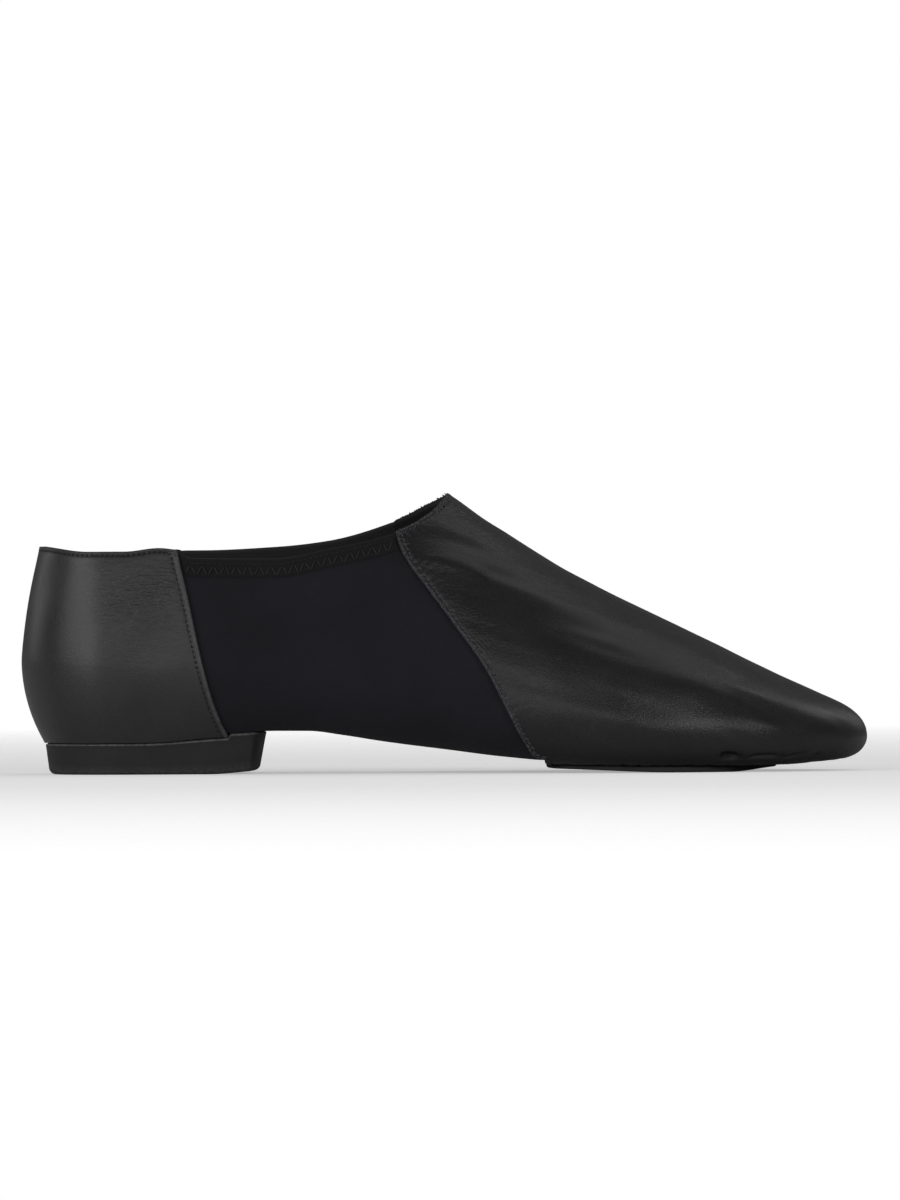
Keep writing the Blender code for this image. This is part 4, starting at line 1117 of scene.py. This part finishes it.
def evenly(points, pitch, start=0.0, end=0.0):
    # places every pitch along a line of points, as (line parameter) positions between point indices
    steps = np.linalg.norm(np.diff(points, axis=0), axis=1)
    runs = np.concatenate([[0], np.cumsum(steps)])
    count = max(int((runs[-1] - start - end) / pitch), 1)
    marks = start + np.arange(count + 1) * (runs[-1] - start - end) / count
    return np.interp(marks, runs, np.arange(len(points)))


def valuesAt(values, marks):
    index = np.arange(len(values))
    if values.ndim == 1:
        return np.interp(marks, index, values)
    return np.stack([np.interp(marks, index, values[:, k]) for k in range(values.shape[1])], axis=1)


def offsetRow(side, stations, levels, gap, toward):
    # a row at a constant distance inside an edge; toward is +1 or -1 for which side of the edge is leather
    points = formPoint(side, stations, levels)
    normals = formNormal(side, stations, levels)
    tangents = np.gradient(points, axis=0)
    tangents /= np.maximum(np.linalg.norm(tangents, axis=1, keepdims=True), 1e-12)
    aside = np.cross(tangents, normals) * toward
    return ontoForm(side, points + aside * gap, stations.copy(), levels.copy())


def rowOfStitches(side, stations, levels, pitch, share, depth, start=1 * mm, end=1 * mm):
    points = sunkPoint(side, stations, levels, np.full(stations.shape, depth))
    normals = formNormal(side, stations, levels)
    marks = evenly(points, pitch, start, end)
    ends, ups = [], []
    for a, b in zip(marks, marks[1:]):
        margin = (b - a) * (1 - share) / 2
        pair = valuesAt(points, np.array([a + margin, b - margin]))
        ends.append((pair[0], pair[1]))
        ups.append(valuesAt(normals, np.array([(a + b) / 2]))[0])
    return ends, ups


def vampStitches():
    chance = np.random.default_rng(19)
    overcast = vamp["overcast"]
    ends, ups = [], []
    for side in bothSides:
        stations = vampWall.stations[side]
        levels = vampWall.levels[side]
        seatRow = int(np.argmin(np.abs(vampWall.rows - 0.25)))
        lineStations = np.concatenate([stations[0, seatRow:], stations[1:vampWall.lines[1] + 1, -1]])
        lineLevels = np.concatenate([levels[0, seatRow:], levels[1:vampWall.lines[1] + 1, -1]])
        for row in vamp["rows"]:
            rowStations, rowLevels = offsetRow(side, lineStations, lineLevels, row, -side)
            e, u = rowOfStitches(side, rowStations, rowLevels, vamp["pitch"], vamp["stitchShare"],
                                 vamp["stitchDepth"], *vamp["rowEnds"])
            ends += e
            ups += u
        first, firstLevels = offsetRow(side, lineStations, lineLevels, overcast["from"], -side)
        second, secondLevels = offsetRow(side, lineStations, lineLevels, overcast["to"], -side)
        outside = sunkPoint(side, first, firstLevels, np.zeros(len(first)))
        inside = sunkPoint(side, second, secondLevels, np.zeros(len(second)))
        normals = formNormal(side, first, firstLevels)
        marks = evenly(outside, overcast["pitch"], *overcast["ends"])
        for mark in marks[chance.random(len(marks)) < overcast["share"]]:
            ends.append((valuesAt(outside, np.array([mark]))[0],
                         valuesAt(inside, np.array([mark + chance.uniform(*overcast["lean"])]))[0]))
            ups.append(valuesAt(normals, np.array([mark]))[0])
    piece = stitchMesh("vamp_stitches", ends, ups, vamp["threadRadius"], lift=0.1, slant=0.3,
                       uneven=vamp["stray"])
    dress(piece, "vamp_leather", threadMaterial("vampThread", vamp["thread"]))
    print("vamp stitches:", len(ends))


def counterStitches():
    ends, ups = [], []
    for side in bothSides:
        stations, levels = counterWall.stations[side], counterWall.levels[side]
        line, lineLevels = stations[-1, 7:], levels[-1, 7:]
        rowStations, rowLevels = offsetRow(side, line, lineLevels, counter["rows"][0], side)
        height = formPoint(side, rowStations, rowLevels)[:, 2]
        keep = height < topHeight(side, placeAt(rowStations)) - counter["rowTop"]
        e, u = rowOfStitches(side, rowStations[keep], rowLevels[keep], counter["pitch"],
                             counter["stitchShare"], counter["stitchDepth"])
        ends += e
        ups += u
        top = stations[:, -1]
        topX = formPoint(side, top, np.full_like(top, 2.0))
        topLevels = levelForHeight(side, top, topX[:, 2] - counter["topRow"])
        e, u = rowOfStitches(side, top, topLevels, counter["pitch"], counter["stitchShare"],
                             counter["topRowDepth"], 0.5 * counter["pitch"], counter["topRowEnd"])
        ends += e
        ups += u
    piece = stitchMesh("counter_stitches", ends, ups, counter["threadRadius"], lift=0.0, slant=0.08)
    dress(piece, "counter_leather", threadMaterial("counterThread", counter["thread"]))
    print("counter stitches:", len(ends))


hem = {"pitch": 3.30 * mm, "low": 2.07, "middle": 2.3, "high": 2.62, "line": 2.69, "radius": 0.25 * mm,
       "ends": 1.6 * mm, "arch": 0.08 * mm, "gap": 0.06, "share": 0.8,
       "lineRadius": 0.13 * mm, "linePitch": 1.65 * mm, "stray": 0.05 * mm,
       "thread": {"dark": (0.009, 0.009, 0.0105, 1), "light": (0.020, 0.020, 0.023, 1), "rough": 0.6}}


def hemStitches():
    ends, ups, radii = [], [], []
    for side in bothSides:
        low = seamStation(side, counterSeam, np.array([hem["middle"]]))[0]
        high = seamStation(side, vampSeam, np.array([hem["middle"]]))[0]
        stations = np.linspace(low, high, 240)
        points = formPoint(side, stations, levelAt(side, stations, np.full(240, hem["middle"])))
        marks = valuesAt(stations, evenly(points, hem["pitch"] / 2, hem["ends"], hem["ends"]))
        rows = np.where(np.arange(len(marks)) % 2 == 0, hem["low"], hem["high"])
        levels = levelAt(side, marks, rows)
        corners = sunkPoint(side, marks, levels, np.full(marks.shape, upperDepth - last["hemStep"]))
        normals = formNormal(side, marks, levels)
        for k in range(len(marks) - 1):
            inset = hem["gap"] * (corners[k + 1] - corners[k])
            ends.append((corners[k] + inset, corners[k + 1] - inset))
            ups.append(normals[k])
        line = np.linspace(stations[6], stations[-7], 200)
        e, u = rowOfStitches(side, line, levelAt(side, line, np.full(200, hem["line"])), hem["linePitch"],
                             hem["share"], upperDepth - last["hemStep"])
        radii += [hem["radius"]] * (len(ends) - len(radii)) + [hem["lineRadius"]] * len(e)
        ends += e
        ups += u
    piece = stitchMesh("hem_zigzag", ends, ups, radii, lift=0.3, arch=hem["arch"], uneven=hem["stray"])
    dress(piece, "stretch_fabric", threadMaterial("hemThread", hem["thread"]))
    print("hem stitches:", len(ends))


vampStitches()
counterStitches()
hemStitches()

# Heel block, forefoot patch and insole: plates that follow the tread's outline

plates = {
    "points": 241, "slices": 90, "endRound": 2.3,
    "press": 0.3 * mm, "pressInset": 1.3 * mm,  # the glued middle of a sole reaches into the leather
    "patch": {"inset": 0.6 * mm, "edge": 0.5 * mm, "rim": 0.2 * mm, "backRound": 5 * mm, "frontRound": 30 * mm,
              "backThin": 0.8 * mm, "backReach": 35 * mm, "frontThin": 1.15 * mm, "frontReach": 14 * mm,
              "look": {"dark": (0.024, 0.024, 0.0245, 1), "light": (0.034, 0.034, 0.0345, 1),
                       "worn": (0.05, 0.05, 0.05, 1), "rough": 0.78, "edgeWear": 0.3, "dust": 0.10,
                       "bump": 0.6, "specular": 0.3, "speck": 2200.0}},
    "block": {"inset": 0.3 * mm, "edge": 0.8 * mm, "endEdge": 2.2 * mm, "endReach": 6 * mm, "taper": 0.9 * mm,
              "corner": 4 * mm, "stepReach": 0.3 * mm, "rim": 0.38 * mm,
              "heelOff": 1.0 * mm, "heelOffReach": 17 * mm,
              "look": {"dark": (0.0102, 0.0102, 0.0106, 1), "light": (0.0145, 0.0145, 0.0150, 1),
                       "worn": (0.16, 0.16, 0.165, 1), "rough": 0.62, "edgeWear": 0.9, "dust": 0.08,
                       "bump": 0.35, "specular": 0.4, "speck": 1500.0}},
    "insole": {"inset": 2.0 * mm, "thickness": 2.0 * mm, "edge": 0.6 * mm,
               "look": {"loop": 0.0009, "dark": (0.030, 0.030, 0.032, 1), "light": (0.045, 0.045, 0.048, 1),
                        "rough": 0.9, "dust": 0.05, "bump": 0.6, "specular": 0.2, "sheen": 0.15}},
}


def movedIn(outline, inset):
    along = np.roll(outline, -1, axis=0) - np.roll(outline, 1, axis=0)
    inward = np.stack([-along[:, 1], along[:, 0]], axis=1)
    return outline + inset * inward / np.maximum(np.linalg.norm(along, axis=1, keepdims=True), 1e-12)


def treadOutline(inset):
    stations = np.linspace(0, 3, plates["points"])
    outer = formPoint(outerSide, stations, 0.0)[:, :2]
    inner = formPoint(innerSide, stations, 0.0)[:, :2]
    loop = movedIn(np.concatenate([outer, inner[-2:0:-1]]), inset)
    return loop[:len(stations)], np.concatenate([loop[:1], loop[:len(stations) - 2:-1]])


def roundedEnd(distance, length):
    share = 1 - np.clip(distance / length, 0, 1)
    return (1 - share ** plates["endRound"]) ** (1 / plates["endRound"])


def plateRings(inset, back, front, backRound, frontRound):
    outer, inner = treadOutline(inset)
    back, front = max(back, outer[:, 0].min()), min(front, outer[:, 0].max())
    turn = (1 - np.cos(np.linspace(0, math.pi, plates["slices"]))) / 2
    x = back + (front - back) * turn
    low, high = np.interp(x, outer[:, 0], outer[:, 1]), np.interp(x, inner[:, 0], inner[:, 1])
    share = np.ones_like(x)
    if backRound:
        share = share * roundedEnd(x - back, backRound)
    if frontRound:
        share = share * roundedEnd(front - x, frontRound)
    middle, half = (low + high) / 2, (high - low) / 2 * share
    half[[0, -1]] = 0
    near = np.stack([x, middle - half], axis=1)
    far = np.stack([x, middle + half], axis=1)
    return np.concatenate([near, far[-2:0:-1]])


def plateMesh(name, outline, profile):
    # profile: rings from the bottom up, each with functions of x for inset and height, and its wear
    count, slices = len(outline), plates["slices"]
    points, faces, edges = [], [], []
    for inset, height, edge in profile:
        ring = movedIn(outline, (inset(outline[:, 0]) if callable(inset) else np.full(count, inset))[:, None])
        points.append(np.column_stack([ring, height(ring[:, 0])]))
        edges.append(np.full(count, edge))
    for r in range(len(profile) - 1):
        for k in range(count):
            after = (k + 1) % count
            faces.append((r * count + k, r * count + after, (r + 1) * count + after, (r + 1) * count + k))
    for base, flip in ((0, True), ((len(profile) - 1) * count, False)):
        for k in range(slices - 1):
            corners = [base + k, base + k + 1, base + (-k - 1) % count, base + (-k) % count]
            corners = list(dict.fromkeys(corners))
            faces.append(tuple(corners[::-1] if flip else corners))
    return newObject(name, np.concatenate(points), faces, {"edge": np.concatenate(edges)})


def roundProfile(radius, steps):
    # insets and heights of a quarter round
    angles = np.linspace(0, math.pi / 2, steps)
    return [(radius * (1 - math.sin(a)), radius * (1 - math.cos(a))) for a in angles]


def overUnderside(offset):
    return lambda x: undersideHeight(x) + offset


def buildPatch():
    size = plates["patch"]
    bottom = -last["clearance"] - last["soleThickness"]
    outline = plateRings(size["inset"], last["soleBack"] * last["length"], last["soleFront"] * last["length"],
                         size["backRound"], size["frontRound"])
    back, front = outline[:, 0].min(), outline[:, 0].max()

    def lowerFace(rise):
        # the patch thins towards both ends
        def height(x):
            thinner = np.maximum(size["backThin"] * smoothStep(1 - (x - back) / size["backReach"]),
                                 size["frontThin"] * smoothStep(1 - (front - x) / size["frontReach"]))
            return undersideHeight(x) + bottom + thinner + rise
        return height

    profile = [(inset, lowerFace(rise), 0.8) for inset, rise in roundProfile(size["edge"], 4)]
    profile.append((0.0, overUnderside(-last["clearance"] - size["rim"]), 0.2))
    profile.append((size["rim"], overUnderside(-last["clearance"]), 0.0))
    profile.append((plates["pressInset"], overUnderside(plates["press"]), 0.0))
    piece = plateMesh("forefoot_patch", outline, profile)
    dress(piece, "sole_patch", rubberMaterial("patchRubber", size["look"]))
    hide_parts("forefoot_sole")


def blockTop(x):
    # higher ahead of the counter, where the block touches the upper itself
    counterEnd = counterSeam(counterRows[0][0] * last["collarHeight"]) + last["clearance"]
    ahead = smoothStep((x - counterEnd) / plates["block"]["stepReach"])
    return undersideHeight(x) - last["clearance"] + upperDepth * ahead


def buildBlock():
    size = plates["block"]
    outline = plateRings(size["inset"], 0, last["heelBlockFront"] * last["length"], 0, size["corner"])
    back, front = outline[:, 0].min(), outline[:, 0].max()

    def ends(x):
        # how near a point is to the back or the front of the block
        return smoothStep(1 - (x - back) / size["endReach"]) + smoothStep(1 - (front - x) / size["endReach"])

    def bottomRound(x):
        return size["edge"] + (size["endEdge"] - size["edge"]) * ends(x)

    def lowEdge(x):
        return size["heelOff"] * smoothStep((x - front + size["heelOffReach"]) / size["heelOffReach"])

    def taper(x):
        return size["taper"] * (1 + smoothStep(1 - (front - x) / size["endReach"]))

    profile = []
    for angle in np.linspace(0, math.pi / 2, 7):
        profile.append((lambda x, a=angle: taper(x) + bottomRound(x) * (1 - math.sin(a)),
                        lambda x, a=angle: lowEdge(x) + bottomRound(x) * (1 - math.cos(a)), 0.2))
    for share in (0.25, 0.5, 0.75, 0.93):
        profile.append((lambda x, s=share: taper(x) * (1 - s),
                        lambda x, s=share: (lowEdge(x) + bottomRound(x)) * (1 - s) + blockTop(x) * s, 0.0))
    profile.append((0.0, lambda x: blockTop(x) - size["rim"], 0.9))
    profile.append((0.3 * size["rim"], lambda x: blockTop(x) - 0.3 * size["rim"], 1.0))
    profile.append((size["rim"], blockTop, 0.9))
    profile.append((plates["pressInset"], lambda x: blockTop(x) + 2 * plates["press"], 0.0))
    piece = plateMesh("heel_lift", outline, profile)
    dress(piece, "heel_rubber", rubberMaterial("heelRubber", size["look"]))
    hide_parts("heel_block")


def buildInsole():
    size = plates["insole"]
    floor = liningDepth + last["clearance"]
    outline = plateRings(size["inset"], 0, last["length"], 0, 0)
    profile = [(0.0, overUnderside(floor), 0.0)]
    for inset, rise in roundProfile(size["edge"], 5)[::-1]:
        profile.append((inset, overUnderside(floor + size["thickness"] - rise), 0.0))
    piece = plateMesh("sock_insole", outline, profile)
    dress(piece, "sock_lining", clothMaterial("sockCloth", size["look"]))
    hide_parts("insole")


buildPatch()
buildBlock()
buildInsole()
print("soles and insole built")

# Studio: pale floor that fades into a white surround, soft lights, level camera

studio = {
    "frameWidth": 900, "frameHeight": 1200, "scale": 0.2955 * mm, "heelPixel": 21, "floorPixel": 772.2,
    "distance": 4.0, "roll": math.radians(0.29),
    "floorRadius": 1.5, "floorGlow": 0.38, "surround": 1.0, "fill": 0.12,
}


def buildFloor():
    count = 64
    radius = studio["floorRadius"]
    ring = [(radius * math.cos(2 * math.pi * k / count), radius * math.sin(2 * math.pi * k / count), 0.0)
            for k in range(count)]
    mesh = bpy.data.meshes.new("floor")
    mesh.from_pydata(ring, [], [tuple(range(count))])
    floor = bpy.data.objects.new("floor", mesh)
    bpy.context.scene.collection.objects.link(floor)
    made, tree, shader = newMaterial("paleFloor")
    shader.inputs["Base Color"].default_value = (0.86, 0.86, 0.86, 1)
    shader.inputs["Roughness"].default_value = 0.9
    shader.inputs["Specular IOR Level"].default_value = 0.1
    place = addNode(tree, "ShaderNodeTexCoord").outputs["Object"]
    reach = addNode(tree, "ShaderNodeVectorMath", {0: place}, operation="LENGTH").outputs["Value"]
    fade = remap(tree, reach, 0.2 * radius, 0.95 * radius, 1.0, 0.0)
    clear = addNode(tree, "ShaderNodeBsdfTransparent")
    seen = addNode(tree, "ShaderNodeLightPath").outputs["Is Camera Ray"]
    tree.links.new(calc(tree, "MULTIPLY", seen, studio["floorGlow"]), shader.inputs["Emission Strength"])
    shader.inputs["Emission Color"].default_value = (1, 1, 1, 1)
    mix = addNode(tree, "ShaderNodeMixShader", {0: fade, 1: clear.outputs[0], 2: shader.outputs[0]})
    tree.links.new(mix.outputs[0], tree.nodes["Material Output"].inputs["Surface"])
    floor.data.materials.append(made)


def buildSurround():
    world = bpy.data.worlds.new("studioSurround")
    bpy.context.scene.world = world
    world.use_nodes = True
    tree = world.node_tree
    tree.nodes.clear()
    seen = addNode(tree, "ShaderNodeBackground", {"Color": (1, 1, 1, 1), "Strength": studio["surround"]})
    light = addNode(tree, "ShaderNodeBackground", {"Color": (1, 1, 1, 1), "Strength": studio["fill"]})
    path = addNode(tree, "ShaderNodeLightPath")
    mix = addNode(tree, "ShaderNodeMixShader", {0: path.outputs["Is Camera Ray"], 1: light.outputs[0],
                                                2: seen.outputs[0]})
    out = addNode(tree, "ShaderNodeOutputWorld")
    tree.links.new(mix.outputs[0], out.inputs["Surface"])


lights = (
    # name, place, size across and up, turn in its own plane, power, all aimed at the middle of the shoe
    ("overheadBox", (0.30, 0.18, 1.15), (0.6, 0.7), 0, 1.1),
    ("toeBox", (1.00, 0.75, 1.02), (0.4, 0.6), 0, 1.4),
    ("backRight", (1.20, 1.20, 0.60), (0.8, 0.5), 0, 0.6),
    ("backLeft", (-1.40, 0.70, 0.50), (0.5, 0.7), 0, 1.6),
    ("frontLeft", (-1.20, -1.05, 0.50), (1.4, 0.55), -45, 7.9),
    ("frontLow", (-0.15, -1.65, 0.50), (0.9, 0.5), 0, 3.1),
    ("frontRight", (1.00, -1.20, 0.55), (0.6, 0.35), 0, 4.4),
)


def buildLights():
    for name, place, size, turn, power in lights:
        data = bpy.data.lights.new(name, "AREA")
        data.shape = "RECTANGLE"
        data.size, data.size_y = size
        data.energy = power
        lamp = bpy.data.objects.new(name, data)
        bpy.context.scene.collection.objects.link(lamp)
        lamp.location = place
        aim = (Vector((0, 0, 0.035)) - lamp.location).to_track_quat("-Z", "Y").to_matrix()
        lamp.rotation_euler = (aim @ Matrix.Rotation(math.radians(turn), 3, "Z")).to_euler()


def buildCamera():
    data = bpy.data.cameras.new("photoCamera")
    camera = bpy.data.objects.new("photoCamera", data)
    bpy.context.scene.collection.objects.link(camera)
    data.sensor_width = 36.0
    span = studio["frameHeight"] * studio["scale"]
    data.lens = data.sensor_width * studio["distance"] / span
    data.clip_end = 50
    middleX = (studio["frameWidth"] / 2 - studio["heelPixel"]) * studio["scale"] - last["length"] / 2
    middleZ = (studio["floorPixel"] - studio["frameHeight"] / 2) * studio["scale"]
    camera.location = (middleX, -studio["distance"], middleZ)
    camera.rotation_euler = (Euler((math.pi / 2, 0, 0)).to_matrix()
                             @ Matrix.Rotation(-studio["roll"], 3, "Z")).to_euler()
    bpy.context.scene.camera = camera


buildFloor()
buildSurround()
buildLights()
buildCamera()
bpy.context.scene.view_settings.view_transform = "Standard"
print("studio ready")
